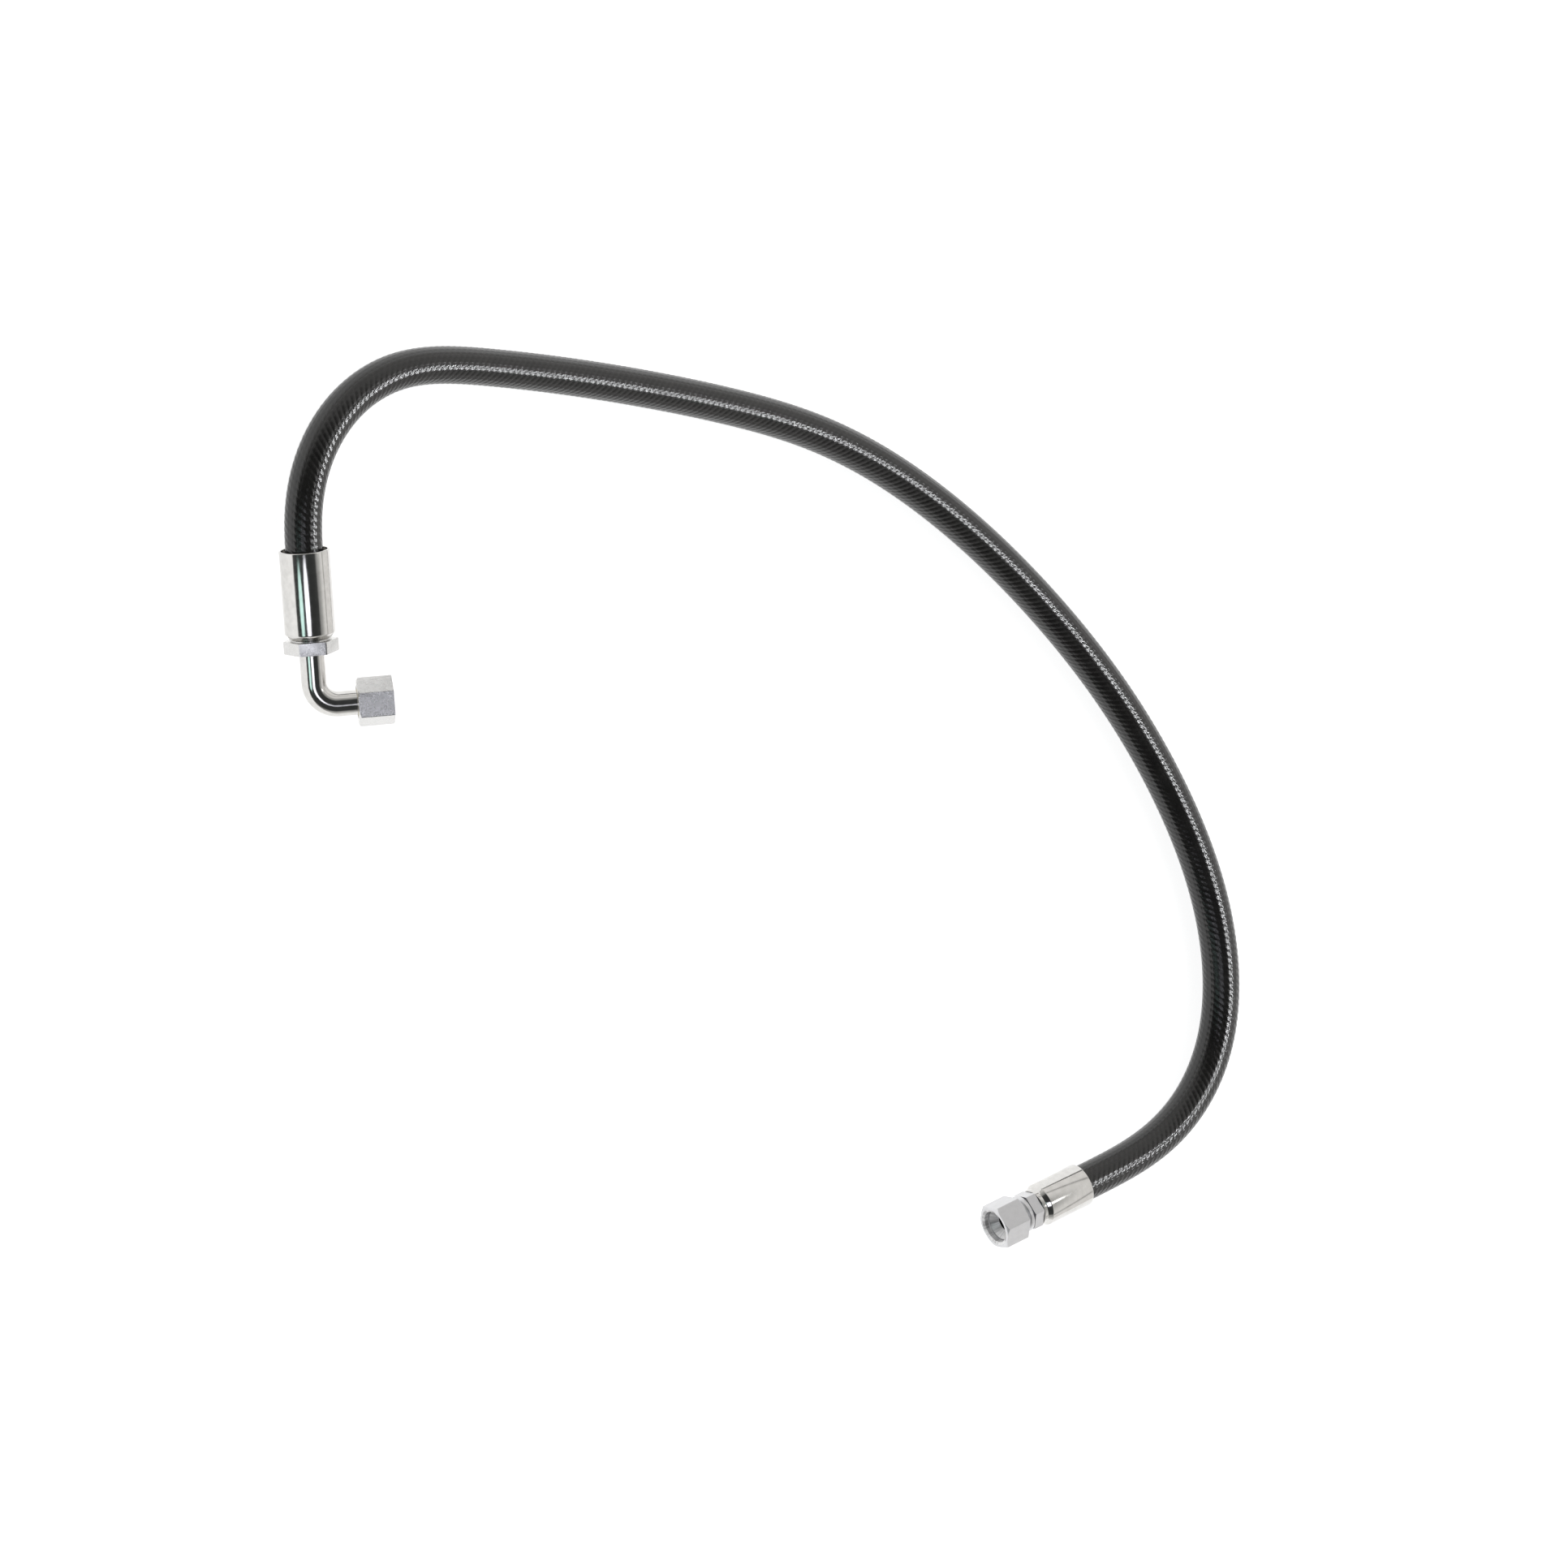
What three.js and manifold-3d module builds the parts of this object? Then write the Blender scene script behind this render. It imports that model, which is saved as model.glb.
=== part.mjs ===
// Hydraulic hose assembly: a two-wire DN12 hose with a 90 degree elbow end and a straight end.
// Millimetres, +Z up. The assembly lies on the plane z = 0, and the origin is on that plane,
// under the middle of the box around its metal end fittings.
// Both ends carry a swivel nut that turns freely on a conical-seat nose, held by a thrust wire.

import * as THREE from 'three';
import { NURBSCurve } from 'three/addons/curves/NURBSCurve.js';
import { mergeVertices } from 'three/addons/utils/BufferGeometryUtils.js';
import Module from 'manifold-3d';

const wasm = await Module();
wasm.setup();

// ---- Clearances ----

const GAP = 0.3; // between pieces that touch or are pressed together
const SWIVEL_GAP = 0.3; // radial clearance of a swivel nut on its nose
const CRIMP_EASE = 0.2; // between the hose and a ferrule's bore, over GAP
const CUT_EXTRA = 1; // how far a cutting bar runs past the piece it cuts

// ---- Hose ----

const HOSE_BORE = 12.7;
const TUBE_WALL = 1.65;
const BRAID_WALL = 0.6;
const MIDDLE_WALL = 0.35;
const COVER_WALL = 1.15;
const HOSE_WALL = TUBE_WALL + BRAID_WALL + MIDDLE_WALL + BRAID_WALL + COVER_WALL + 4 * GAP;
const HOSE_RADIUS = HOSE_BORE / 2 + HOSE_WALL;
const HOSE_SIDES = 10;
const HOSE_STEPS = 27;

// ---- Bent tube of the elbow end ----

const ELBOW_TUBE = { od: 16, wall: 2, bendRadius: 14.5, straight: 19.4, leg: 11.4 };
const ELBOW_RISE = THREE.MathUtils.degToRad(30); // the leg's slope above the plane the hose lies on
const SOCKET_RADIUS = ELBOW_TUBE.od / 2 + GAP;
const NOSE_SOCKET_DEPTH = 7.8;
const SOCKET_WALL = 2;
const BRAZE_LEG = 1;

// ---- Nipple stems, inside the hose ----

const BARB = { count: 4, clearance: 0.65, height: 0.5, share: 0.9 };
const BARB_RADIUS = HOSE_BORE / 2 - BARB.clearance;
const BARB_ROOT = BARB_RADIUS - BARB.height;
const STEM_WALL = 0.8;
const STEM_BORE = BARB_ROOT - STEM_WALL;
const STEM_END = { setBack: 8, chamfer: 0.3, plain: 2 }; // setBack is from the ferrule's rim
const STOP_STEP = 2.5; // from the hose's surface down to the stop's rim
const HOSE_STOP = { start: 4.2, end: 6.3, radius: HOSE_RADIUS - STOP_STEP };
const GROOVE_DEPTH = 1.2;
const GROOVE_RADIUS = HOSE_STOP.radius - GROOVE_DEPTH;
const BARB_SET_BACK = 4; // from the hose stop to the first barb
const BARB_START = HOSE_STOP.end + BARB_SET_BACK;

// ---- Ferrules ----

const FERRULE_BORE = HOSE_RADIUS + GAP + CRIMP_EASE;
const FERRULE_EDGE = 0.5;
const FERRULE_FLANGE = 2.6;
const TOOTH = { depth: 0.7, firstFromStop: 3, lastFromMouth: 1 };
const TOOTH_SHARES = { rootStart: 0.2, rootEnd: 0.6, top: 0.7 }; // of a tooth's pitch
const ELBOW_FERRULE = {
  wall: 3.6,
  length: 55.7,
  endRadius: FERRULE_BORE + 0.6,
  endTaper: 3.4,
  neckLength: 0,
  teeth: 4,
  mouth: { radius: FERRULE_BORE + 2.2, depth: 5, taper: 2 },
};
const STRAIGHT_FERRULE = {
  wall: 1.6,
  length: 38.5,
  endRadius: FERRULE_BORE,
  endTaper: 2.3,
  neckLength: 3,
  teeth: 3,
  mouth: { radius: FERRULE_BORE + 0.1, depth: 1.5, taper: 0.5 },
};
const NECK_STEP = 0.4;

// ---- Collars ----

const ELBOW_COLLAR = { flats: 30, thickness: 8, web: 1.2 };
const ELBOW_NECK = { radius: GROOVE_RADIUS + 3.8, length: 0.7 };
const STRAIGHT_COLLAR = { flats: 22, thickness: 7 };
const BORE_STEP = 2; // length of the cone between the nose's bore and the stem's

// ---- Swivel noses, nuts and thrust wires ----

const SEAT = { angle: THREE.MathUtils.degToRad(37), depth: 3.6, edge: 0.2 };
const NOSE_BORE = ELBOW_TUBE.od / 2 - ELBOW_TUBE.wall;
const NOSE_RADIUS = SOCKET_RADIUS + 1.7;
const NOSE_SET_BACK = 1.3; // from the elbow nut's rear face to the nose's rear end
const NUT_BORE = NOSE_RADIUS + SWIVEL_GAP;
const THREAD = { mouth: NUT_BORE + 1.3, minor: NUT_BORE + 0.15, major: NUT_BORE + 0.8, start: 1.2, end: 2.8 };
const THREAD_RUN_OUT = 0.4;
const NUT_WALL = 1.9; // over the thread's mouth, at the middle of a flat
const NUT_FLATS = 2 * (THREAD.mouth + NUT_WALL);
const NUT_CHAMFER = { faceRadius: NUT_FLATS / 2 + 0.2, depth: 1.3 };
const NUT_TAIL_RADIUS = NUT_BORE + 1.7;
const TAIL_EDGE = { frontStep: 0.6, frontTaper: 1.2, rearStep: 1, rearTaper: 1.5 };
const ELBOW_NUT = { hexLength: 22.4, tailLength: 0 };
const STRAIGHT_NUT = { hexLength: 18.1, tailLength: 6 };
const TAIL_GAP = 0.9; // between the straight end's collar and its nut
const WIRE = { radius: 0.7, fromRear: 5.9, holeRadius: 1 };

// ---- Roundness of the meshes ----

const LATHE_SIDES = 24;
const TUBE_SIDES = 14;
const TUBE_STEPS = 18;
const BEND_CHORDS = 8;
const WIRE_SIDES = 6;
const HOLE_SIDES = 10;

// ---- Route of the hose ----

// Control points of the hose's centre line, from inside the elbow ferrule to inside the straight one.
// The ends lie at the heights of the elbow's collar and the straight nut, which stand on a corner.
const HOSE_ROUTE = [
  [-211.75, 261.45, 17.32], [-208.9, 273.8, 17.32], [-203.2, 298.5, 17.32], [-194.8, 334.9, 17.32],
  [-173.3, 365, 14.8], [-141.3, 385, 12.4], [-104.2, 391, 11.9], [-68.3, 382.4, 11.9],
  [-28.1, 363.3, 11.9], [5.9, 346.1, 11.9], [36.8, 329.6, 11.9], [68.8, 311.7, 11.9],
  [102, 292.2, 11.9], [135.6, 271.3, 11.9], [166.7, 250.4, 11.9], [195.5, 227.9, 11.9],
  [222.7, 202, 11.9], [247.9, 173.2, 11.9], [270.8, 142.8, 11.9], [291.5, 111.6, 11.9],
  [310.5, 79.2, 11.9], [328, 45.7, 11.9], [343.8, 11.4, 11.9], [357.5, -24.1, 11.9],
  [369.2, -61.9, 11.9], [378.2, -101.8, 11.9], [383.5, -141.5, 11.9], [383.6, -181.4, 11.9],
  [376.7, -220.6, 11.9], [361.3, -254.8, 11.9], [337.4, -280, 12.2], [307.1, -294.7, 13.6],
  [272.9, -299.8, 15.6], [235.2, -299.8, 15.6], [210.1, -299.8, 15.6], [197.5, -299.8, 15.6],
].map(([x, y, z]) => new THREE.Vector4(x, y, z, 1));

// ---- Materials ----

const rubber = new THREE.MeshStandardMaterial({ color: 0x1d1d1e, roughness: 0.42, metalness: 0 });
const tubeRubber = new THREE.MeshStandardMaterial({ color: 0x141414, roughness: 0.7, metalness: 0 });
const braidSteel = new THREE.MeshStandardMaterial({ color: 0xa08a5c, roughness: 0.4, metalness: 1 });
const zincPlate = new THREE.MeshStandardMaterial({ color: 0xc8c5c0, roughness: 0.2, metalness: 1 });
const satinPlate = new THREE.MeshStandardMaterial({ color: 0xbebec1, roughness: 0.4, metalness: 1 });
const springWire = new THREE.MeshStandardMaterial({ color: 0x8d8f92, roughness: 0.35, metalness: 1 });
const braze = new THREE.MeshStandardMaterial({ color: 0xb9a46c, roughness: 0.45, metalness: 1 });

// ---- Helpers ----

/** Turns a closed geometry's faces outwards, whichever way its outline was drawn. */
function facingOut(geometry) {
  const plain = geometry.index ? geometry.toNonIndexed() : geometry;
  const position = plain.getAttribute('position');
  const [a, b, c] = [new THREE.Vector3(), new THREE.Vector3(), new THREE.Vector3()];
  let volume = 0;
  for (let i = 0; i < position.count; i += 3) {
    a.fromBufferAttribute(position, i);
    b.fromBufferAttribute(position, i + 1);
    c.fromBufferAttribute(position, i + 2);
    volume += a.dot(b.cross(c));
  }
  if (volume < 0) {
    for (let i = 0; i < position.count; i += 3) {
      b.fromBufferAttribute(position, i + 1);
      c.fromBufferAttribute(position, i + 2);
      position.setXYZ(i + 1, c.x, c.y, c.z);
      position.setXYZ(i + 2, b.x, b.y, b.z);
    }
  }
  return plain;
}

/** A body of revolution about the local X axis. The profile is a closed loop of [x, radius] points. */
function turned(profile, sides = LATHE_SIDES) {
  const loop = [...profile, profile[0]].map(([x, radius]) => new THREE.Vector2(radius, x));
  return facingOut(new THREE.LatheGeometry(loop, sides).rotateZ(-Math.PI / 2));
}

/** A hexagonal bar along the local X axis, corner up, from x = start to x = end. */
function hexBar(flats, start, end) {
  const cornerRadius = flats / 2 / Math.cos(Math.PI / 6);
  const bar = new THREE.CylinderGeometry(cornerRadius, cornerRadius, end - start, 6);
  return bar.rotateZ(-Math.PI / 2).translate((start + end) / 2, 0, 0);
}

/** A closed geometry as a manifold solid. */
function solid(geometry) {
  const bare = geometry.clone();
  bare.deleteAttribute('normal');
  bare.deleteAttribute('uv');
  const merged = mergeVertices(bare, 1e-4);
  return new wasm.Manifold(new wasm.Mesh({
    numProp: 3,
    vertProperties: new Float32Array(merged.getAttribute('position').array),
    triVerts: new Uint32Array(merged.index.array),
  }));
}

/** A manifold solid as a geometry. */
function geometryOf(body) {
  const mesh = body.getMesh();
  const geometry = new THREE.BufferGeometry();
  geometry.setAttribute('position', new THREE.BufferAttribute(new Float32Array(mesh.vertProperties), 3));
  geometry.setIndex(new THREE.BufferAttribute(new Uint32Array(mesh.triVerts), 1));
  const flat = geometry.toNonIndexed();
  flat.computeVertexNormals();
  return flat;
}

function named(name, geometry, material) {
  const mesh = new THREE.Mesh(geometry, material);
  mesh.name = name;
  return mesh;
}

/** A regular polygon's outline, as a shape or a hole. */
function polygon(radius, sides, outline) {
  const corners = Array.from({ length: sides }, (_, i) => {
    const angle = (2 * Math.PI * i) / sides;
    return new THREE.Vector2(radius * Math.cos(angle), radius * Math.sin(angle));
  });
  return outline.setFromPoints(corners);
}

/** A pipe of one wall along a path. */
function pipe(path, innerRadius, outerRadius, sides, steps) {
  const section = polygon(outerRadius, sides, new THREE.Shape());
  section.holes.push(polygon(innerRadius, sides, new THREE.Path()));
  return facingOut(new THREE.ExtrudeGeometry(section, { steps, extrudePath: path, bevelEnabled: false }));
}

// ---- Hose ----

/** The hose's centre line: a clamped cubic curve over the control points. */
function hoseLine() {
  const degree = 3;
  const spans = HOSE_ROUTE.length - degree;
  const inner = Array.from({ length: spans - 1 }, (_, i) => (i + 1) / spans);
  const knots = [...Array(degree + 1).fill(0), ...inner, ...Array(degree + 1).fill(1)];
  return new NURBSCurve(degree, knots, HOSE_ROUTE);
}

/** The five layers of the hose, from the inside out, each a full-length pipe. */
function hose() {
  const group = new THREE.Group();
  const path = hoseLine();
  path.arcLengthDivisions = 2000;
  const layer = (name, inner, outer, material) => {
    group.add(named(name, pipe(path, inner, outer, HOSE_SIDES, HOSE_STEPS), material));
    return outer + GAP;
  };
  let radius = HOSE_BORE / 2;
  radius = layer('hose_inner_tube', radius, radius + TUBE_WALL, tubeRubber);
  radius = layer('hose_inner_braid', radius, radius + BRAID_WALL, braidSteel);
  radius = layer('hose_middle_rubber', radius, radius + MIDDLE_WALL, tubeRubber);
  radius = layer('hose_outer_braid', radius, radius + BRAID_WALL, braidSteel);
  layer('hose_cover', radius, radius + COVER_WALL, rubber);
  return group;
}

// ---- Ferrules ----

/**
 * A ferrule shell. x = 0 is the collar's hose side, and the open mouth looks along +X.
 * Its flange drops into the nipple's groove, and its bore has gripping teeth.
 */
function ferruleShell(size, start) {
  const { mouth, teeth } = size;
  const rim = start + size.length;
  const outer = FERRULE_BORE + size.wall;
  const pocket = HOSE_STOP.radius + FERRULE_EDGE;
  const teethStart = HOSE_STOP.end + TOOTH.firstFromStop;
  const pitch = (rim - teethStart - mouth.depth - mouth.taper - TOOTH.lastFromMouth) / teeth;
  const shoulder = start + size.neckLength;
  const neckRadius = size.endRadius - NECK_STEP;
  const neck = size.neckLength > 0 ? [[start, neckRadius], [shoulder, neckRadius]] : [];
  const outline = [
    [start, GROOVE_RADIUS + GAP],
    ...neck,
    [shoulder, size.endRadius],
    [shoulder + size.endTaper, outer],
    [rim - FERRULE_EDGE, outer],
    [rim, outer - FERRULE_EDGE],
    [rim, mouth.radius],
    [rim - mouth.depth, mouth.radius],
    [rim - mouth.depth - mouth.taper, FERRULE_BORE],
  ];
  for (let i = teeth - 1; i >= 0; i -= 1) {
    const tooth = teethStart + i * pitch;
    const root = FERRULE_BORE + TOOTH.depth;
    outline.push([tooth + pitch * TOOTH_SHARES.top, FERRULE_BORE]);
    outline.push([tooth + pitch * TOOTH_SHARES.rootEnd, root]);
    outline.push([tooth + pitch * TOOTH_SHARES.rootStart, root], [tooth, FERRULE_BORE]);
  }
  outline.push([HOSE_STOP.end + GAP, FERRULE_BORE]);
  outline.push([HOSE_STOP.end + GAP, pocket]);
  outline.push([start + FERRULE_FLANGE, pocket]);
  outline.push([start + FERRULE_FLANGE, GROOVE_RADIUS + GAP]);
  return turned(outline);
}

// ---- Nipples and noses ----

/** The barbed stem's outline from its tip back to the hose stop, then the groove the ferrule locks in. */
function stemOutline(tip) {
  const pitch = (tip - STEM_END.plain - BARB_START) / BARB.count;
  const outline = [[tip, BARB_ROOT - STEM_END.chamfer]];
  for (let i = BARB.count - 1; i >= 0; i -= 1) {
    const barb = BARB_START + i * pitch;
    outline.push([barb + pitch * BARB.share, BARB_ROOT], [barb, BARB_RADIUS], [barb, BARB_ROOT]);
  }
  outline.push([HOSE_STOP.end, BARB_ROOT], [HOSE_STOP.end, HOSE_STOP.radius]);
  outline.push([HOSE_STOP.start, HOSE_STOP.radius], [HOSE_STOP.start, GROOVE_RADIUS]);
  return outline;
}

/** A nose's outline from its rear end, where x = rear, to its conical seat. The seat looks along -X. */
function noseOutline(rear, face, wire) {
  const front = face + SEAT.depth;
  const halfGroove = WIRE.radius + GAP;
  const grooveRadius = NOSE_RADIUS + SWIVEL_GAP / 2 - halfGroove;
  const rimRadius = NOSE_RADIUS - SEAT.edge;
  return [
    [rear, NOSE_RADIUS],
    [wire + halfGroove, NOSE_RADIUS],
    [wire + halfGroove, grooveRadius],
    [wire - halfGroove, grooveRadius],
    [wire - halfGroove, NOSE_RADIUS],
    [front, NOSE_RADIUS],
    [front, rimRadius],
    [front + (rimRadius - NOSE_BORE) / Math.tan(SEAT.angle), NOSE_BORE],
  ];
}

/** A hexagonal ring along the local X axis, corner up, to be joined onto a turned piece. */
function hexRing(flats, start, end, bore) {
  const hole = new THREE.CylinderGeometry(bore, bore, end - start + 2 * CUT_EXTRA, LATHE_SIDES);
  hole.rotateZ(-Math.PI / 2).translate((start + end) / 2, 0, 0);
  return solid(hexBar(flats, start, end)).subtract(solid(hole));
}

/** The elbow end's nipple: barbed stem, hose stop, hexagonal collar and a socket for the bent tube. */
function elbowNipple() {
  const tip = ELBOW_FERRULE.length - STEM_END.setBack;
  const collarEnd = -ELBOW_COLLAR.thickness;
  const core = turned([
    ...stemOutline(tip),
    [ELBOW_NECK.length, GROOVE_RADIUS],
    [ELBOW_NECK.length, ELBOW_NECK.radius],
    [0, ELBOW_NECK.radius],
    [collarEnd, SOCKET_RADIUS + SOCKET_WALL],
    [collarEnd, SOCKET_RADIUS],
    [-ELBOW_COLLAR.web, SOCKET_RADIUS],
    [-ELBOW_COLLAR.web, STEM_BORE],
    [tip, STEM_BORE],
  ]);
  const collar = hexRing(ELBOW_COLLAR.flats, collarEnd, 0, SOCKET_RADIUS + SOCKET_WALL / 2);
  return named('elbow_nipple', geometryOf(solid(core).add(collar)), satinPlate);
}

/** The straight end's nipple: barbed stem, hose stop, hexagonal collar and the nose in one piece. */
function straightNipple() {
  const tip = STRAIGHT_FERRULE.length - STEM_END.setBack;
  const collarEnd = -STRAIGHT_COLLAR.thickness;
  const { face, wire } = straightStations();
  const core = turned([
    ...stemOutline(tip),
    [0, GROOVE_RADIUS],
    [0, NOSE_RADIUS],
    ...noseOutline(collarEnd, face, wire),
    [collarEnd - BORE_STEP, NOSE_BORE],
    [collarEnd, STEM_BORE],
    [tip, STEM_BORE],
  ]);
  const collar = hexRing(STRAIGHT_COLLAR.flats, collarEnd, 0, (NOSE_RADIUS + STEM_BORE) / 2);
  return named('straight_nipple', geometryOf(solid(core).add(collar)), satinPlate);
}

// ---- Swivel nuts and their thrust wires ----

function nutLength(nut) {
  return nut.hexLength + nut.tailLength;
}

/** Where the straight nut's front face and its wire are, from the collar's hose side. */
function straightStations() {
  const rear = -STRAIGHT_COLLAR.thickness - TAIL_GAP;
  return { face: rear - nutLength(STRAIGHT_NUT), wire: rear - WIRE.fromRear };
}

/**
 * A swivel nut whose threaded mouth looks along -X, with its front face at x = face.
 * chamferFront and chamferRear say which end of the hexagon is turned off at its corners.
 */
function swivelNut(nut, face, chamferFront, chamferRear) {
  const corner = NUT_FLATS / Math.sqrt(3);
  const hexEnd = face + nut.hexLength;
  const rear = face + nutLength(nut);
  const wire = rear - WIRE.fromRear;
  const halfGroove = WIRE.radius + GAP;
  const wireGroove = NOSE_RADIUS + SWIVEL_GAP / 2 + halfGroove;
  const corners = [];
  if (chamferFront) corners.push([face, NUT_CHAMFER.faceRadius], [face + NUT_CHAMFER.depth, corner]);
  else corners.push([face, corner]);
  if (chamferRear) corners.push([hexEnd - NUT_CHAMFER.depth, corner], [hexEnd, NUT_CHAMFER.faceRadius]);
  else corners.push([hexEnd, corner]);
  const tail = [
    [hexEnd, NUT_TAIL_RADIUS - TAIL_EDGE.frontStep],
    [hexEnd + TAIL_EDGE.frontTaper, NUT_TAIL_RADIUS],
    [rear - TAIL_EDGE.rearTaper, NUT_TAIL_RADIUS],
    [rear, NUT_TAIL_RADIUS - TAIL_EDGE.rearStep],
  ];
  const blank = turned([
    [face, THREAD.mouth],
    ...corners,
    ...(nut.tailLength > 0 ? tail : []),
    [rear, NUT_BORE],
    [wire + halfGroove, NUT_BORE],
    [wire + halfGroove, wireGroove],
    [wire - halfGroove, wireGroove],
    [wire - halfGroove, NUT_BORE],
    [face + THREAD.end + THREAD_RUN_OUT, NUT_BORE],
    [face + THREAD.end, THREAD.minor],
    [face + (THREAD.start + THREAD.end) / 2, THREAD.major],
    [face + THREAD.start, THREAD.minor],
  ]);
  const bar = hexBar(NUT_FLATS, face - CUT_EXTRA, rear + CUT_EXTRA);
  const hole = new THREE.CylinderGeometry(WIRE.holeRadius, WIRE.holeRadius, NUT_FLATS / 2, HOLE_SIDES);
  const wireHole = hole.translate(wire, -NUT_BORE - NUT_FLATS / 4, 0);
  return geometryOf(solid(blank).intersect(solid(bar)).subtract(solid(wireHole)));
}

/** The wire ring that keeps a nut on its nose, around x = wire. */
function thrustWire(wire) {
  const centre = NOSE_RADIUS + SWIVEL_GAP / 2;
  const ring = Array.from({ length: WIRE_SIDES }, (_, i) => {
    const angle = (2 * Math.PI * i) / WIRE_SIDES;
    return [wire + WIRE.radius * Math.cos(angle), centre + WIRE.radius * Math.sin(angle)];
  });
  return turned(ring);
}

// ---- Bent tube of the elbow end ----

/** Distances along the elbow's leg, from the corner where the two straight axes cross. */
function legStations() {
  const nutRear = ELBOW_TUBE.bendRadius + ELBOW_TUBE.leg;
  const nutFace = nutRear + nutLength(ELBOW_NUT);
  const noseRear = nutRear + NOSE_SET_BACK;
  return { nutFace, wire: nutRear + WIRE.fromRear, noseRear, tubeEnd: noseRear + NOSE_SOCKET_DEPTH };
}

/** The tube's centre line in its own plane: down from the collar, round the bend and out along the leg. */
function elbowTubePath() {
  const { bendRadius, straight } = ELBOW_TUBE;
  const top = bendRadius + straight + ELBOW_COLLAR.thickness - ELBOW_COLLAR.web - GAP;
  const path = new THREE.CurvePath();
  path.add(new THREE.LineCurve3(new THREE.Vector3(0, top, 0), new THREE.Vector3(0, bendRadius, 0)));
  let last = new THREE.Vector3(0, bendRadius, 0);
  for (let i = 1; i <= BEND_CHORDS; i += 1) {
    const angle = (Math.PI / 2) * (i / BEND_CHORDS);
    const next = new THREE.Vector3(bendRadius * (1 - Math.cos(angle)), bendRadius * (1 - Math.sin(angle)), 0);
    path.add(new THREE.LineCurve3(last, next));
    last = next;
  }
  path.add(new THREE.LineCurve3(last, new THREE.Vector3(legStations().tubeEnd, 0, 0)));
  return path;
}

/** A small braze fillet in the corner between a face at x = face and the tube, on the face's side dx. */
function brazeRing(face, dx) {
  const start = face + dx * GAP;
  return turned([
    [start, SOCKET_RADIUS],
    [start, SOCKET_RADIUS + BRAZE_LEG],
    [start + dx * BRAZE_LEG, SOCKET_RADIUS],
  ]);
}

// ---- Assembly ----

/** The elbow's nose, nut, wire and braze, in a frame whose -X looks out along the leg. */
function elbowLeg() {
  const group = new THREE.Group();
  const { nutFace, wire, noseRear, tubeEnd } = legStations();
  const socketEnd = -tubeEnd - GAP;
  const nose = turned([
    ...noseOutline(-noseRear, -nutFace, -wire),
    [socketEnd, NOSE_BORE],
    [socketEnd, SOCKET_RADIUS],
    [-noseRear, SOCKET_RADIUS],
  ]);
  group.add(named('elbow_nose', nose, satinPlate));
  group.add(named('elbow_thrust_wire', thrustWire(-wire), springWire));
  group.add(named('elbow_nose_braze', brazeRing(-noseRear, 1), braze));
  const nut = named('elbow_nut', swivelNut(ELBOW_NUT, -nutFace, false, true), satinPlate);
  nut.rotation.x = Math.PI / 6; // a flat looks up
  group.add(nut);
  return group;
}

/** The elbow end, in a frame whose +X looks into the hose from the collar's hose side. */
function elbowEnd() {
  const group = new THREE.Group();
  const ferruleStart = ELBOW_NECK.length + GAP;
  group.add(named('elbow_ferrule', ferruleShell(ELBOW_FERRULE, ferruleStart), zincPlate));
  group.add(elbowNipple());
  group.add(named('elbow_collar_braze', brazeRing(-ELBOW_COLLAR.thickness, -1), braze));

  // The corner of the elbow; its leg leaves at right angles to the hose, rising by ELBOW_RISE.
  const corner = new THREE.Group();
  corner.position.x = -ELBOW_COLLAR.thickness - ELBOW_TUBE.straight - ELBOW_TUBE.bendRadius;
  corner.rotation.set(0, -ELBOW_RISE, -Math.PI / 2, 'ZYX');
  const tube = pipe(elbowTubePath(), NOSE_BORE, ELBOW_TUBE.od / 2, TUBE_SIDES, TUBE_STEPS);
  corner.add(named('elbow_tube', tube, zincPlate));
  const leg = elbowLeg();
  leg.rotation.z = Math.PI;
  corner.add(leg);
  group.add(corner);
  return group;
}

/** The straight end, in a frame whose +X looks into the hose from the collar's hose side. */
function straightEnd() {
  const group = new THREE.Group();
  const { face, wire } = straightStations();
  group.add(named('straight_ferrule', ferruleShell(STRAIGHT_FERRULE, GAP), zincPlate));
  group.add(straightNipple());
  group.add(named('straight_nut', swivelNut(STRAIGHT_NUT, face, true, false), satinPlate));
  group.add(named('straight_thrust_wire', thrustWire(wire), springWire));
  return group;
}

/** Puts an end on the hose: its stop a gap away from the hose's end, in line with the hose there. */
function fitToHose(end, hoseEnd, nextPoint) {
  const heading = Math.atan2(nextPoint.y - hoseEnd.y, nextPoint.x - hoseEnd.x);
  const reach = HOSE_STOP.end + GAP;
  end.rotation.z = heading;
  end.position.set(
    hoseEnd.x - reach * Math.cos(heading),
    hoseEnd.y - reach * Math.sin(heading),
    hoseEnd.z,
  );
  return end;
}

const assembly = new THREE.Group();
assembly.name = 'hydraulic_hose_assembly';
assembly.add(
  hose(),
  fitToHose(elbowEnd(), HOSE_ROUTE[0], HOSE_ROUTE[1]),
  fitToHose(straightEnd(), HOSE_ROUTE.at(-1), HOSE_ROUTE.at(-2)),
);

export default assembly;
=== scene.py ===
import math

import bmesh
import bpy
import numpy as np
from mathutils import Matrix, Vector


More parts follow.
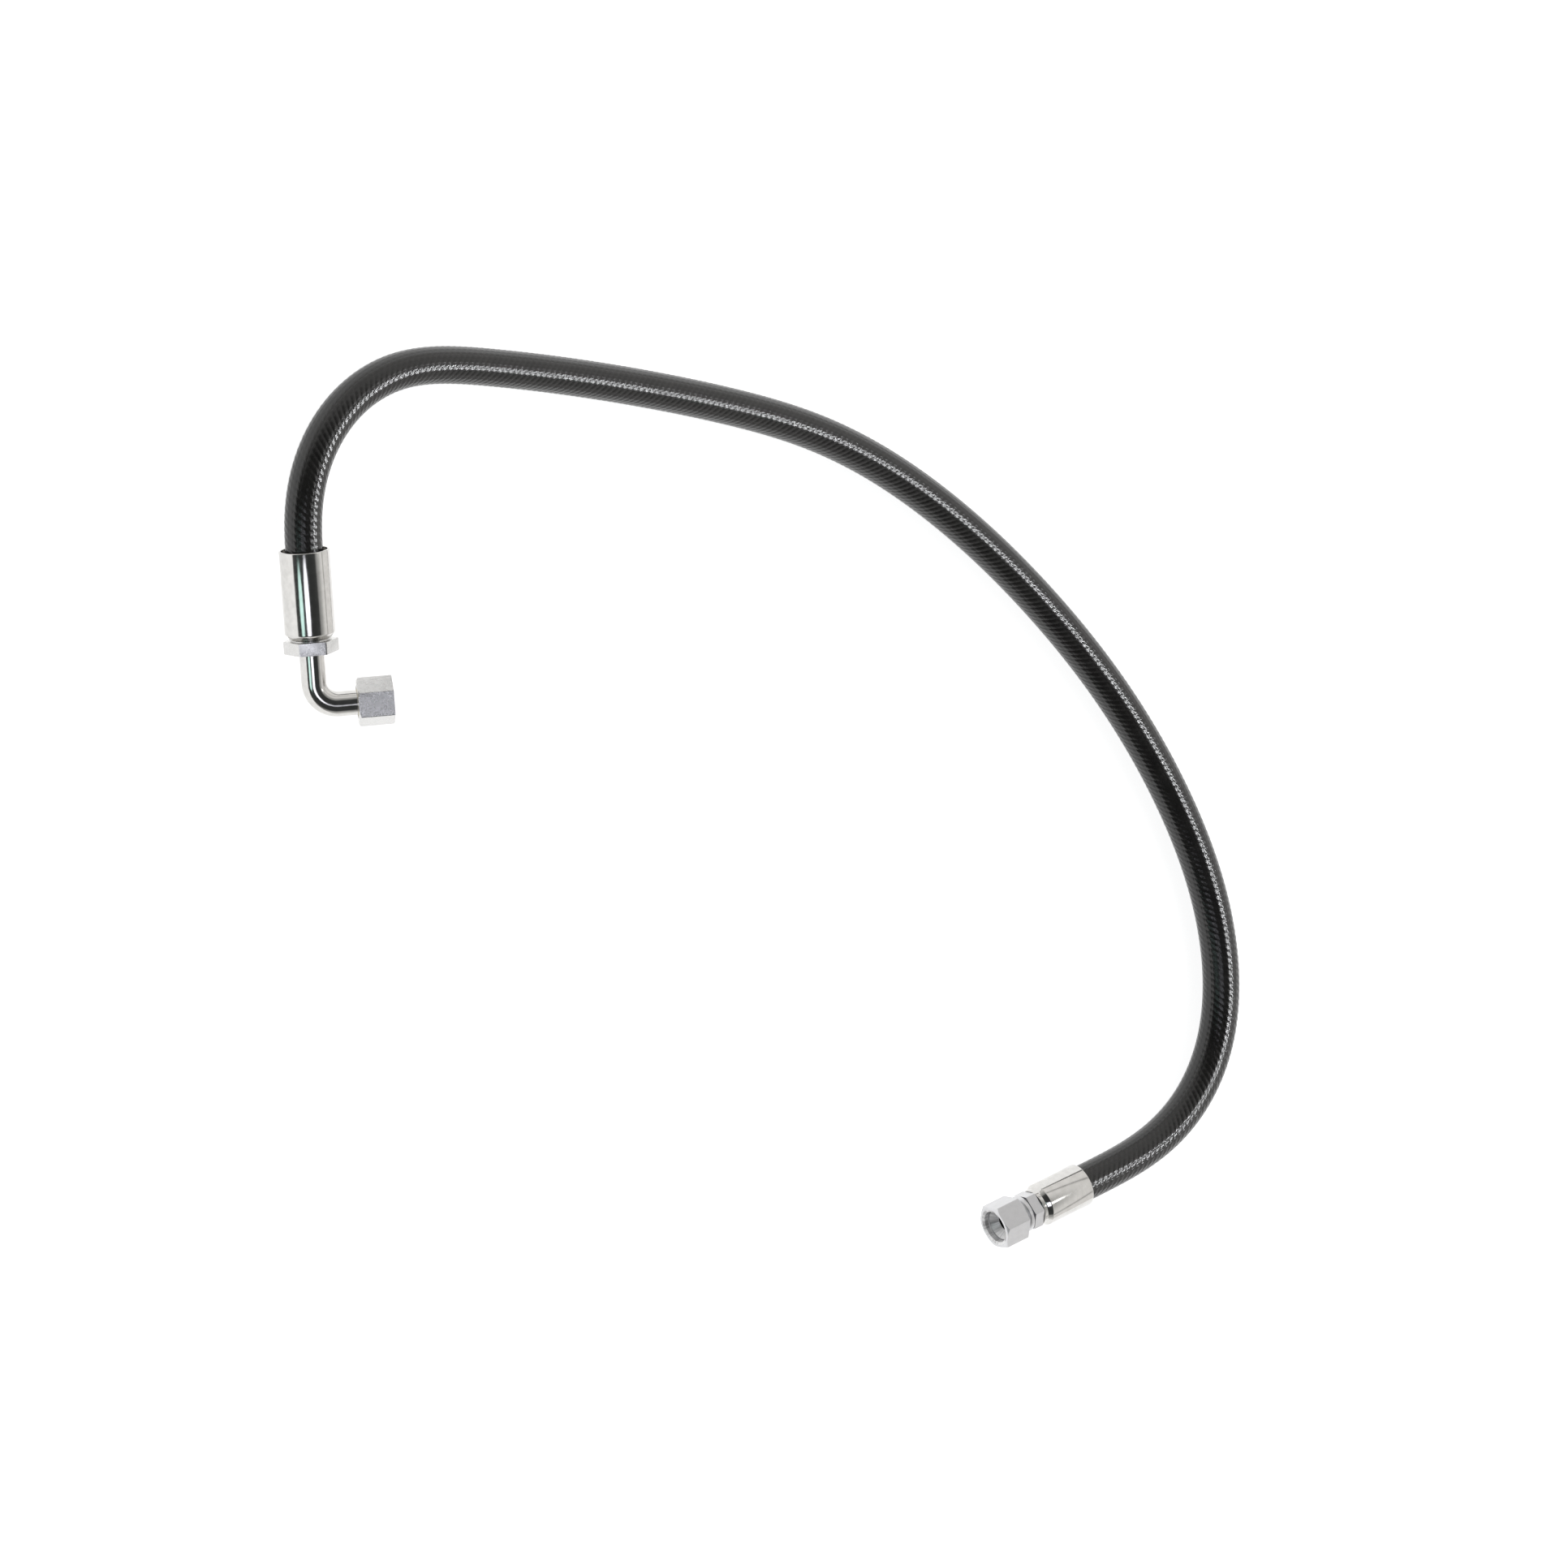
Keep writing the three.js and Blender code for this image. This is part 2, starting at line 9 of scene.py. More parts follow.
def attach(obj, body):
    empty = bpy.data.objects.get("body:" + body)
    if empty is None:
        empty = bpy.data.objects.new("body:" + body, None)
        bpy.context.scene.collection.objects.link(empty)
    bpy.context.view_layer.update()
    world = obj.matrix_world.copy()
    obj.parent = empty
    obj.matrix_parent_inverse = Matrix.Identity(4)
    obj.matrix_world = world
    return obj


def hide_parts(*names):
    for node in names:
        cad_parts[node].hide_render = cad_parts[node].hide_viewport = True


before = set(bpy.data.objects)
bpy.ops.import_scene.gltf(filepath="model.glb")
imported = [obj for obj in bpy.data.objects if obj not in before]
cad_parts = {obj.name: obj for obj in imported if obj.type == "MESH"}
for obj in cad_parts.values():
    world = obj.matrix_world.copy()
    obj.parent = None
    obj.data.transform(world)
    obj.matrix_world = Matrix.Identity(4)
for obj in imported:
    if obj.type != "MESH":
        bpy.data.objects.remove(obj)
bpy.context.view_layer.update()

# Hydraulic hose assembly. A two-wire hose with a wrapped cover lies in one long bend on the floor.
# One end has a bent tube with a swivel nut, the other a straight fitting with a swivel nut.
# Sizes are in metres. An end's own frame has its origin on its axis, at its collar's hose side,
# and +X looks into the hose.

MM = 0.001
BODY = "hose_and_fittings"
ELBOW_NUT_BODY = "elbow_nut"
STRAIGHT_NUT_BODY = "straight_nut"
GAP = 0.3 * MM

# ---- Hose ----

# Control points of the hose's centre line, from inside the elbow ferrule to inside the straight one.
HOSE_ROUTE = [
    (-0.21175, 0.26145, 0.01732), (-0.2089, 0.2738, 0.01732), (-0.2032, 0.2985, 0.01732),
    (-0.1948, 0.3349, 0.01732), (-0.1733, 0.365, 0.0148), (-0.1413, 0.385, 0.0124),
    (-0.1042, 0.391, 0.0119), (-0.0683, 0.3824, 0.0119), (-0.0281, 0.3633, 0.0119),
    (0.0059, 0.3461, 0.0119), (0.0368, 0.3296, 0.0119), (0.0688, 0.3117, 0.0119),
    (0.102, 0.2922, 0.0119), (0.1356, 0.2713, 0.0119), (0.1667, 0.2504, 0.0119),
    (0.1955, 0.2279, 0.0119), (0.2227, 0.202, 0.0119), (0.2479, 0.1732, 0.0119),
    (0.2708, 0.1428, 0.0119), (0.2915, 0.1116, 0.0119), (0.3105, 0.0792, 0.0119),
    (0.328, 0.0457, 0.0119), (0.3438, 0.0114, 0.0119), (0.3575, -0.0241, 0.0119),
    (0.3692, -0.0619, 0.0119), (0.3782, -0.1018, 0.0119), (0.3835, -0.1415, 0.0119),
    (0.3836, -0.1814, 0.0119), (0.3767, -0.2206, 0.0119), (0.3613, -0.2548, 0.0119),
    (0.3374, -0.28, 0.0122), (0.3071, -0.2947, 0.0136), (0.2729, -0.2998, 0.0156),
    (0.2352, -0.2998, 0.0156), (0.2101, -0.2998, 0.0156), (0.1975, -0.2998, 0.0156),
]
HOSE_LENGTH = 1.2415
HOSE_BORE = 12.7 * MM
TUBE_WALL = 1.65 * MM
BRAID_WALL = 0.6 * MM
MIDDLE_WALL = 0.35 * MM
COVER_WALL = 1.15 * MM
HOSE_RADIUS = HOSE_BORE / 2 + TUBE_WALL + 2 * BRAID_WALL + MIDDLE_WALL + COVER_WALL + 4 * GAP
CELL_LENGTH = 4.2 * MM  # of the cloth's impression in the cover, along the hose
CELL_ROWS = 4  # mesh faces along a cell
CELLS_AROUND = 24
CELL_COLUMNS = 3  # mesh faces across a cell
CLOTH_RELIEF = 0.13 * MM
CLOTH_SLANT = 0.5  # of a cell's length, from one cell to the next around the hose
CELL_WIDTH = 2 * math.pi * (HOSE_RADIUS - CLOTH_RELIEF) / CELLS_AROUND
THREAD_SPACING = 0.8 * MM
THREAD_RELIEF = 0.012 * MM
PIT_DEPTH = 0.01 * MM
BUMP_SHARE = 0.8  # of the cloth's relief, repeated in the cover's finish to sharpen its gloss
LAYER_SIDES = 48
INNER_WALL_STEP = 8  # rings of the cover's skin for each ring of its inner wall
LAYER_STEP = 4  # points of the path for each ring of a hidden layer
BRAID_CELL = 12 * MM
BRAID_RELIEF = 0.12 * MM

# ---- Fittings, their bores given as radii ----

SIDES = 96
CURVED_REACH = 10 * MM  # the radius at which a turned piece's UV map is true to size
FERRULE_BORE = HOSE_RADIUS + GAP + 0.2 * MM
ELBOW_FERRULE_LENGTH, ELBOW_FERRULE_WALL = 55.7 * MM, 3.6 * MM
STRAIGHT_FERRULE_LENGTH, STRAIGHT_FERRULE_WALL = 38.5 * MM, 1.6 * MM
FLANGE_WALL = 2.6 * MM
TOOTH_SPACING = 10 * MM
TOOTH_DEPTH = 0.7 * MM
STOP_START, STOP_END = 4.2 * MM, 6.3 * MM
STOP_RADIUS = HOSE_RADIUS - 2.5 * MM
GROOVE_RADIUS = STOP_RADIUS - 1.2 * MM
BARB_RADIUS = HOSE_BORE / 2 - 0.65 * MM
BARB_ROOT = BARB_RADIUS - 0.5 * MM
STEM_BORE = BARB_ROOT - 0.8 * MM
BARBS = 4
ELBOW_STEM_TIP, STRAIGHT_STEM_TIP = 47.7 * MM, 30.5 * MM

ELBOW_TUBE_RADIUS = 8 * MM
ELBOW_TUBE_BORE = 6 * MM
ELBOW_BEND = 14.5 * MM
ELBOW_STRAIGHT = 19.4 * MM
ELBOW_LEG = 11.4 * MM
ELBOW_RISE = math.radians(30)
ELBOW_COLLAR_FLATS, ELBOW_COLLAR_THICKNESS = 30 * MM, 8 * MM
COLLAR_WEB = 1.2 * MM
NOSE_SOCKET_DEPTH = 7.8 * MM
NOSE_SET_BACK = 1.3 * MM
SOCKET_RADIUS = ELBOW_TUBE_RADIUS + GAP

STRAIGHT_COLLAR_FLATS, STRAIGHT_COLLAR_THICKNESS = 22 * MM, 7 * MM
TAIL_GAP = 0.9 * MM

NOSE_RADIUS = SOCKET_RADIUS + 1.7 * MM
SEAT_ANGLE = math.radians(37)
SEAT_DEPTH = 3.6 * MM
NUT_BORE = NOSE_RADIUS + GAP
NUT_MOUTH = NUT_BORE + 1.8 * MM
NUT_FLATS = 27 * MM
ELBOW_NUT_LENGTH = 22.4 * MM
STRAIGHT_NUT_HEX, STRAIGHT_NUT_TAIL = 18.1 * MM, 6 * MM
WIRE_FROM_REAR = 5.9 * MM
WIRE_RADIUS = 0.7 * MM
WIRE_HOLE_RADIUS = 1 * MM
HEX_CHAMFER, HEX_EDGE_BREAK = 1.3 * MM, 0.4 * MM
MOUTH_TAPER = 0.8 * MM
RELIEF_RADIUS = NUT_BORE + 0.15 * MM
RELIEF_BEFORE_SEAT = 0.5 * MM
BRAZE_LEG = 1.3 * MM
TOUCH = 0.05 * MM  # the gap under the braze, and how closely faces are picked

# ---- Camera ----

CAMERA_RIGHT = Vector((0.7753, -0.2514, 0.5794)).normalized()
CAMERA_BACK = Vector((-0.5078, 0.2974, 0.8085)).normalized()
CAMERA_UP = CAMERA_BACK.cross(CAMERA_RIGHT)
VIEW_CENTRE = Vector((0.1045, 0.0262, 0.0))
VIEW_WIDTH = 0.988
CAMERA_DISTANCE = 16.0
SENSOR_WIDTH = 36.0


# ---- Helpers for meshes ----


def new_object(name, verts, faces, uvs=None):
    """A mesh object at the origin. uvs has one pair for each corner of each face, in order."""
    mesh = bpy.data.meshes.new(name)
    mesh.from_pydata([tuple(v) for v in verts], [], [tuple(f) for f in faces])
    if uvs is not None:
        layer = mesh.uv_layers.new(name="UVMap")
        layer.data.foreach_set("uv", np.asarray(uvs, dtype=np.float32).ravel())
    mesh.update()
    piece = bpy.data.objects.new(name, mesh)
    bpy.context.scene.collection.objects.link(piece)
    return piece


def closed_grid(name, points, u, v):
    """A closed surface over a grid of points that wraps round both ways.

    u has one value for each column, v one for each row, both with one more for the wrap.
    """
    rows, columns = points.shape[:2]
    i, j = np.meshgrid(np.arange(rows), np.arange(columns), indexing="ij")
    below, beside = (i + 1) % rows, (j + 1) % columns
    corners = [(i, j), (i, beside), (below, beside), (below, j)]
    quads = np.stack([(row * columns + column).ravel() for row, column in corners], axis=1)
    corner_u = np.stack([u[j], u[j + 1], u[j + 1], u[j]], axis=-1).reshape(-1, 4)
    corner_v = np.stack([v[i], v[i], v[i + 1], v[i + 1]], axis=-1).reshape(-1, 4)
    flat = points.reshape(-1, 3)
    a, b, c = flat[quads[:, 0]], flat[quads[:, 1]], flat[quads[:, 2]]
    if np.einsum("ij,ij->", a, np.cross(b, c)) < 0:
        quads, corner_u, corner_v = quads[:, ::-1], corner_u[:, ::-1], corner_v[:, ::-1]
    return new_object(name, flat, quads, np.stack([corner_u, corner_v], axis=-1))


def rounded(corners, steps=4):
    """A closed outline of (x, radius, fillet) corners, with an arc at each corner that has a fillet."""
    points = []
    for k, (x, y, fillet) in enumerate(corners):
        here = Vector((x, y))
        back = Vector(corners[k - 1][:2]) - here
        ahead = Vector(corners[(k + 1) % len(corners)][:2]) - here
        half = back.angle(ahead) / 2
        if not fillet or half > 0.49 * math.pi:
            points.append(here)
            continue
        reach = min(fillet / math.tan(half), 0.48 * back.length, 0.48 * ahead.length)
        centre = here + (back.normalized() + ahead.normalized()).normalized() * (reach / math.cos(half))
        start = here + back.normalized() * reach - centre
        sweep = start.angle_signed(here + ahead.normalized() * reach - centre)
        for s in range(steps + 1):
            points.append(centre + Matrix.Rotation(-sweep * s / steps, 2) @ start)
    return points


def turned(name, corners, sides=SIDES):
    """A body turned about the local X axis from a closed outline of (x, radius, fillet) corners."""
    outline = rounded(corners)
    x = np.array([p.x for p in outline])
    radius = np.array([p.y for p in outline])
    angle = np.arange(sides + 1) * 2 * math.pi / sides
    points = np.stack([
        np.repeat(x[:, None], sides, axis=1),
        radius[:, None] * np.cos(angle[:-1]),
        radius[:, None] * np.sin(angle[:-1]),
    ], axis=-1)
    step = np.hypot(np.diff(x, append=x[0]), np.diff(radius, append=radius[0]))
    return closed_grid(name, points, angle * CURVED_REACH, np.concatenate([[0], np.cumsum(step)]))


def hex_bar(name, flats, start, end, edge):
    """A hexagonal bar along the local X axis, corner up, with its six long edges rounded."""
    corner = flats / math.sqrt(3)
    outline = rounded([
        (corner * math.cos(k * math.pi / 3), corner * math.sin(k * math.pi / 3), edge) for k in range(6)
    ], 3)
    count = len(outline)
    verts = [(x, p.y, p.x) for x in (start, end) for p in outline]
    faces = [(k, (k + 1) % count, count + (k + 1) % count, count + k) for k in range(count)]
    faces += [tuple(range(count - 1, -1, -1)), tuple(range(count, 2 * count))]
    bar = new_object(name, verts, faces)
    make_outward(bar)
    return bar


def make_outward(piece):
    """Turns the faces of a small closed mesh outwards."""
    bm = bmesh.new()
    bm.from_mesh(piece.data)
    bmesh.ops.recalc_face_normals(bm, faces=bm.faces)
    bm.to_mesh(piece.data)
    bm.free()


def applied(piece):
    """Makes the piece's modifiers part of its mesh."""
    graph = bpy.context.evaluated_depsgraph_get()
    mesh = bpy.data.meshes.new_from_object(piece.evaluated_get(graph))
    old = piece.data
    piece.modifiers.clear()
    piece.data = mesh
    bpy.data.meshes.remove(old)
    mesh.name = piece.name
    return piece


def carved(piece, tool, operation):
    """Joins, cuts or intersects a piece with a tool, which is used up."""
    step = piece.modifiers.new("boolean", "BOOLEAN")
    step.operation = operation
    step.solver = "EXACT"
    step.object = tool
    applied(piece)
    bpy.data.objects.remove(tool)
    return piece


def finished(piece, place, material, body, slot, *nodes):
    """Puts a piece in its place, gives it its material and sets it on its body.

    The attribute own_place keeps where each point is in the piece's own frame, for its grain.
    """
    own = np.empty(3 * len(piece.data.vertices), dtype=np.float32)
    piece.data.vertices.foreach_get("co", own)
    piece.data.attributes.new("own_place", "FLOAT_VECTOR", "POINT").data.foreach_set("vector", own)
    piece.data.transform(place)
    piece.data.shade_smooth()
    piece.data.set_sharp_from_angle(angle=math.radians(32))
    piece.data.materials.clear()
    piece.data.materials.append(material)
    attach(piece, body)
    if nodes:
        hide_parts(*nodes)
    return piece


# ---- Helpers for node trees ----


class Tree:
    """A node tree under construction, with short ways to add its nodes and link their inputs."""

    def __init__(self, tree):
        self.tree = tree

    def node(self, kind, links=None, **settings):
        made = self.tree.nodes.new(kind)
        for key, value in settings.items():
            setattr(made, key, value)
        for key, value in (links or {}).items():
            socket = made.inputs[key]
            if isinstance(value, bpy.types.NodeSocket):
                self.tree.links.new(value, socket)
            else:
                socket.default_value = value
        return made

    def join(self, output, node, socket):
        self.tree.links.new(output, node.inputs[socket])

    def math(self, operation, a, b=0.0):
        return self.node("ShaderNodeMath", {0: a, 1: b}, operation=operation).outputs[0]

    def vector(self, operation, a, b=(0, 0, 0)):
        made = self.node("ShaderNodeVectorMath", {0: a, 1: b}, operation=operation)
        return made.outputs["Value" if operation in ("DOT_PRODUCT", "LENGTH") else "Vector"]

    def ramp(self, factor, stops, interpolation="LINEAR"):
        made = self.node("ShaderNodeValToRGB", {"Fac": factor})
        made.color_ramp.interpolation = interpolation
        elements = made.color_ramp.elements
        while len(elements) < len(stops):
            elements.new(0.5)
        for element, (position, colour) in zip(elements, stops):
            element.position = position
            element.color = (*colour, 1)
        return made.outputs["Color"]

    def noise(self, vector, scale, detail=2.0, roughness=0.5):
        links = {"Vector": vector, "Scale": scale, "Detail": detail, "Roughness": roughness}
        return self.node("ShaderNodeTexNoise", links).outputs["Fac"]

    def bump(self, height, distance, strength=1.0, normal=None):
        links = {"Height": height, "Distance": distance, "Strength": strength}
        if normal:
            links["Normal"] = normal
        return self.node("ShaderNodeBump", links).outputs["Normal"]


def new_material(name):
    """A new material, with its node tree and its shader."""
    material = bpy.data.materials.new(name)
    material.use_nodes = True
    tree = Tree(material.node_tree)
    shader = material.node_tree.nodes["Principled BSDF"]
    return material, tree, shader


# ---- Materials ----


def plated_steel(name, dark, light, roughness, grain, grain_depth):
    """Zinc-plated steel: a bright metal with a fine grain, faint cloudiness and a slightly uneven gloss.

    grain is how fine the grain is along and across the piece's own axis, in lines a metre.
    """
    material, tree, shader = new_material(name)
    own = tree.node("ShaderNodeAttribute", attribute_name="own_place").outputs["Vector"]
    cloud = tree.noise(own, 240.0, 3.0)
    fine = tree.noise(tree.vector("MULTIPLY", own, grain), 1.0, 2.0, 0.6)
    tree.join(tree.ramp(cloud, [(0.3, dark), (0.7, light)]), shader, "Base Color")
    gloss = [(0.3, (roughness * 0.85,) * 3), (0.7, (roughness * 1.15,) * 3)]
    tree.join(tree.ramp(cloud, gloss), shader, "Roughness")
    tree.join(tree.bump(fine, grain_depth), shader, "Normal")
    shader.inputs["Metallic"].default_value = 1.0
    return material


def painted_band_seat():
    """Steel as the lathe leaves it: fine rings round the seat, and soft radial bands that the tool's judder
    leaves as a faint relief, their light and dark in the colour painted shading.
    """
    material, tree, shader = new_material("turned_seat_painted_bands")
    uv = tree.node("ShaderNodeUVMap", uv_map="UVMap").outputs["UV"]
    rings = tree.noise(tree.vector("MULTIPLY", uv, (30, 7000, 0)), 1.0, 2.0)
    radial_bands = tree.noise(tree.vector("MULTIPLY", uv, (330, 25, 0)), 1.0, 3.0, 0.6)
    # painted light and shade: the radial bands swing the base colour between dark and light grey
    painted_shading_bands = [(0.38, (0.45, 0.44, 0.44)), (0.60, (0.93, 0.92, 0.92))]
    tree.join(tree.ramp(radial_bands, painted_shading_bands), shader, "Base Color")
    tree.join(tree.ramp(radial_bands, [(0.3, (0.36,) * 3), (0.7, (0.48,) * 3)]), shader, "Roughness")
    ringed = tree.bump(rings, 0.006 * MM)
    tree.join(tree.bump(radial_bands, 0.25 * MM, 1.0, ringed), shader, "Normal")
    shader.inputs["Metallic"].default_value = 0.35
    return material


def shade_painted_bore():
    """The wall of a fluid passage with the drill's rings in it, its steel painted nearly black as painted
    shade for the dark inside of the bore.
    """
    material, tree, shader = new_material("bore_wall_painted_shade")
    own = tree.node("ShaderNodeAttribute", attribute_name="own_place").outputs["Vector"]
    rings = tree.noise(tree.vector("MULTIPLY", own, (3000, 60, 60)), 1.0, 2.0)
    # painted shade: a near-black base colour stands in for the shade deep inside the bore
    dark = [(0.3, (0.02, 0.02, 0.021)), (0.7, (0.05, 0.05, 0.05))]
    tree.join(tree.ramp(rings, dark), shader, "Base Color")
    tree.join(tree.bump(rings, 0.02 * MM), shader, "Normal")
    shader.inputs["Metallic"].default_value = 1.0
    shader.inputs["Roughness"].default_value = 0.22
    return material


def cover_rubber():
    """Glossy black cover rubber, with the threads of the cloth it was cured in pressed into it."""
    material, tree, shader = new_material("wrapped_cover_rubber")
    uv = tree.node("ShaderNodeUVMap", uv_map="UVMap").outputs["UV"]
    place = tree.node("ShaderNodeTexCoord").outputs["Object"]
    ripple = 2 * math.pi / THREAD_SPACING
    weft = tree.math("SINE", tree.vector("DOT_PRODUCT", uv, (ripple, 0, 0)))
    warp = tree.math("SINE", tree.vector("DOT_PRODUCT", uv, (0, ripple, 0)))
    smear = tree.noise(place, 90.0, 4.0)
    pits = tree.noise(place, 1500.0, 3.0)
    black = [(0.3, (0.010, 0.0095, 0.009)), (0.75, (0.018, 0.017, 0.016))]
    tree.join(tree.ramp(smear, black), shader, "Base Color")
    tree.join(tree.ramp(smear, [(0.3, (0.17,) * 3), (0.75, (0.23,) * 3)]), shader, "Roughness")
    column = tree.vector("DOT_PRODUCT", uv, (math.pi / CELL_WIDTH, 0, 0))
    row = tree.vector("DOT_PRODUCT", uv, (math.pi * CLOTH_SLANT / CELL_WIDTH, math.pi / CELL_LENGTH, 0))
    across = tree.math("ABSOLUTE", tree.math("COSINE", column))
    along = tree.math("ABSOLUTE", tree.math("COSINE", row))
    pillow = tree.math("MULTIPLY", along, tree.math("ADD", tree.math("MULTIPLY", across, 0.6), 0.4))
    pressed_in = tree.bump(pillow, BUMP_SHARE * CLOTH_RELIEF)
    woven = tree.bump(tree.math("MULTIPLY", weft, warp), THREAD_RELIEF, 1.0, pressed_in)
    tree.join(tree.bump(pits, PIT_DEPTH, 1.0, woven), shader, "Normal")
    shader.inputs["IOR"].default_value = 1.56
    return material


def plain_rubber(name, colour):
    """Unglossed inner rubber with a faint grain."""
    material, tree, shader = new_material(name)
    place = tree.node("ShaderNodeTexCoord").outputs["Object"]
    grain = tree.noise(place, 900.0, 3.0)
    lighter = tuple(1.5 * c for c in colour)
    tree.join(tree.ramp(grain, [(0.3, colour), (0.7, lighter)]), shader, "Base Color")
    tree.join(tree.bump(grain, 0.02 * MM), shader, "Normal")
    shader.inputs["Roughness"].default_value = 0.65
    return material


def braided_wire():
    """Brass-coated wire with fine strands along it."""
    material, tree, shader = new_material("braided_wire")
    uv = tree.node("ShaderNodeUVMap", uv_map="UVMap").outputs["UV"]
    strands = tree.noise(tree.vector("MULTIPLY", uv, (9000, 500, 0)), 1.0, 2.0)
    brass = [(0.3, (0.35, 0.27, 0.14)), (0.7, (0.72, 0.6, 0.38))]
    tree.join(tree.ramp(strands, brass), shader, "Base Color")
    tree.join(tree.bump(strands, 0.05 * MM), shader, "Normal")
    shader.inputs["Metallic"].default_value = 1.0
    shader.inputs["Roughness"].default_value = 0.38
    return material


FINE_GRAIN = (900, 2600, 2600)
ROLLED_GRAIN = (420, 1700, 1700)
CROSS_GRAIN = (1700, 420, 420)
ZINC_DARK, ZINC_LIGHT = (0.64, 0.635, 0.625), (0.71, 0.705, 0.695)
BRIGHT = plated_steel("bright_zinc_plate", (0.62, 0.61, 0.59), (0.70, 0.69, 0.67), 0.12,
                      FINE_GRAIN, 0.0022 * MM)
SATIN = plated_steel("satin_zinc_plate", (0.62, 0.62, 0.63), (0.69, 0.69, 0.70), 0.34,
                     FINE_GRAIN, 0.006 * MM)
ROLLED = plated_steel("rolled_zinc_plate", ZINC_DARK, ZINC_LIGHT, 0.27, ROLLED_GRAIN, 0.06 * MM)
MILLED = plated_steel("milled_zinc_plate", ZINC_DARK, ZINC_LIGHT, 0.27, CROSS_GRAIN, 0.06 * MM)
BRAZE = plated_steel("braze_fillet", (0.50, 0.44, 0.30), (0.62, 0.56, 0.40), 0.35, FINE_GRAIN, 0.02 * MM)
WIRE_STEEL = plated_steel("drawn_wire", (0.40, 0.41, 0.42), (0.52, 0.53, 0.54), 0.3,
                          FINE_GRAIN, 0.006 * MM)
PAINTED_BAND_SEAT = painted_band_seat()
SHADE_PAINTED_BORE = shade_painted_bore()
COVER = cover_rubber()
TUBE_RUBBER = plain_rubber("inner_tube_rubber", (0.012, 0.012, 0.012))
BRAID = braided_wire()


# ---- Camera ----


def make_camera():
    data = bpy.data.cameras.new("camera")
    data.sensor_width = SENSOR_WIDTH
    data.lens = SENSOR_WIDTH * CAMERA_DISTANCE / VIEW_WIDTH
    data.clip_start, data.clip_end = 0.1, 100.0
    camera = bpy.data.objects.new("camera", data)
    bpy.context.scene.collection.objects.link(camera)
    turn = Matrix((CAMERA_RIGHT, CAMERA_UP, CAMERA_BACK)).transposed().to_4x4()
    camera.matrix_world = Matrix.Translation(VIEW_CENTRE + CAMERA_BACK * CAMERA_DISTANCE) @ turn
    bpy.context.scene.camera = camera


make_camera()


# ---- Hose ----


def centre_line(steps):
    """Points along the hose's centre line, a clamped cubic curve over the route, at equal distances."""
    data = bpy.data.curves.new("route", "CURVE")
    data.dimensions = "3D"
    spline = data.splines.new("NURBS")
    spline.points.add(len(HOSE_ROUTE) - 1)
    for point, place in zip(spline.points, HOSE_ROUTE):
        point.co = (*place, 1)
    spline.order_u = 4
    spline.use_endpoint_u = True
    spline.resolution_u = 64
    route = bpy.data.objects.new("route", data)
    bpy.context.scene.collection.objects.link(route)
    bpy.context.view_layer.update()
    fine = np.array([tuple(v.co) for v in route.to_mesh().vertices])
    bpy.data.objects.remove(route)
    bpy.data.curves.remove(data)
    reach = np.concatenate([[0], np.cumsum(np.linalg.norm(np.diff(fine, axis=0), axis=1))])
    stations = np.linspace(0, reach[-1], steps + 1)
    return np.stack([np.interp(stations, reach, fine[:, k]) for k in range(3)], axis=1), stations


def swept(name, path, stations, outer, inner, sides, inner_every=1):
    """A pipe along a path, its inner wall with a ring at every inner_every-th point of the path."""
    tangent = np.gradient(path, axis=0)
    tangent /= np.linalg.norm(tangent, axis=1)[:, None]
    side = np.empty_like(path)
    side[0] = np.cross(tangent[0], (0, 0, 1))
    for k in range(1, len(path)):
        side[k] = side[k - 1] - tangent[k] * np.dot(side[k - 1], tangent[k])
        side[k] /= np.linalg.norm(side[k])
    over = np.cross(tangent, side)
    inner_rows = list(range(len(path) - 1, 0, -inner_every)) + [0]
    rows = list(range(len(path))) + inner_rows
    radius = np.array([outer] * len(path) + [inner] * len(inner_rows))
    angle = np.arange(sides + 1) * 2 * math.pi / sides
    ring = np.cos(angle[:-1])[None, :, None] * side[rows][:, None, :]
    ring = ring + np.sin(angle[:-1])[None, :, None] * over[rows][:, None, :]
    points = path[rows][:, None, :] + radius[:, None, None] * ring
    v = np.concatenate([stations[rows], [stations[0]]])
    piece = closed_grid(name, points, angle * outer, v)
    around = np.tile(np.arange(sides) / sides, len(rows))
    along = np.repeat(stations[rows], sides)
    skin = np.repeat(np.arange(len(rows)) < len(path), sides).astype(float)
    for key, values in (("around", around), ("along", along), ("skin", skin)):
        piece.data.attributes.new(key, "FLOAT", "POINT").data.foreach_set("value", values)
    return piece


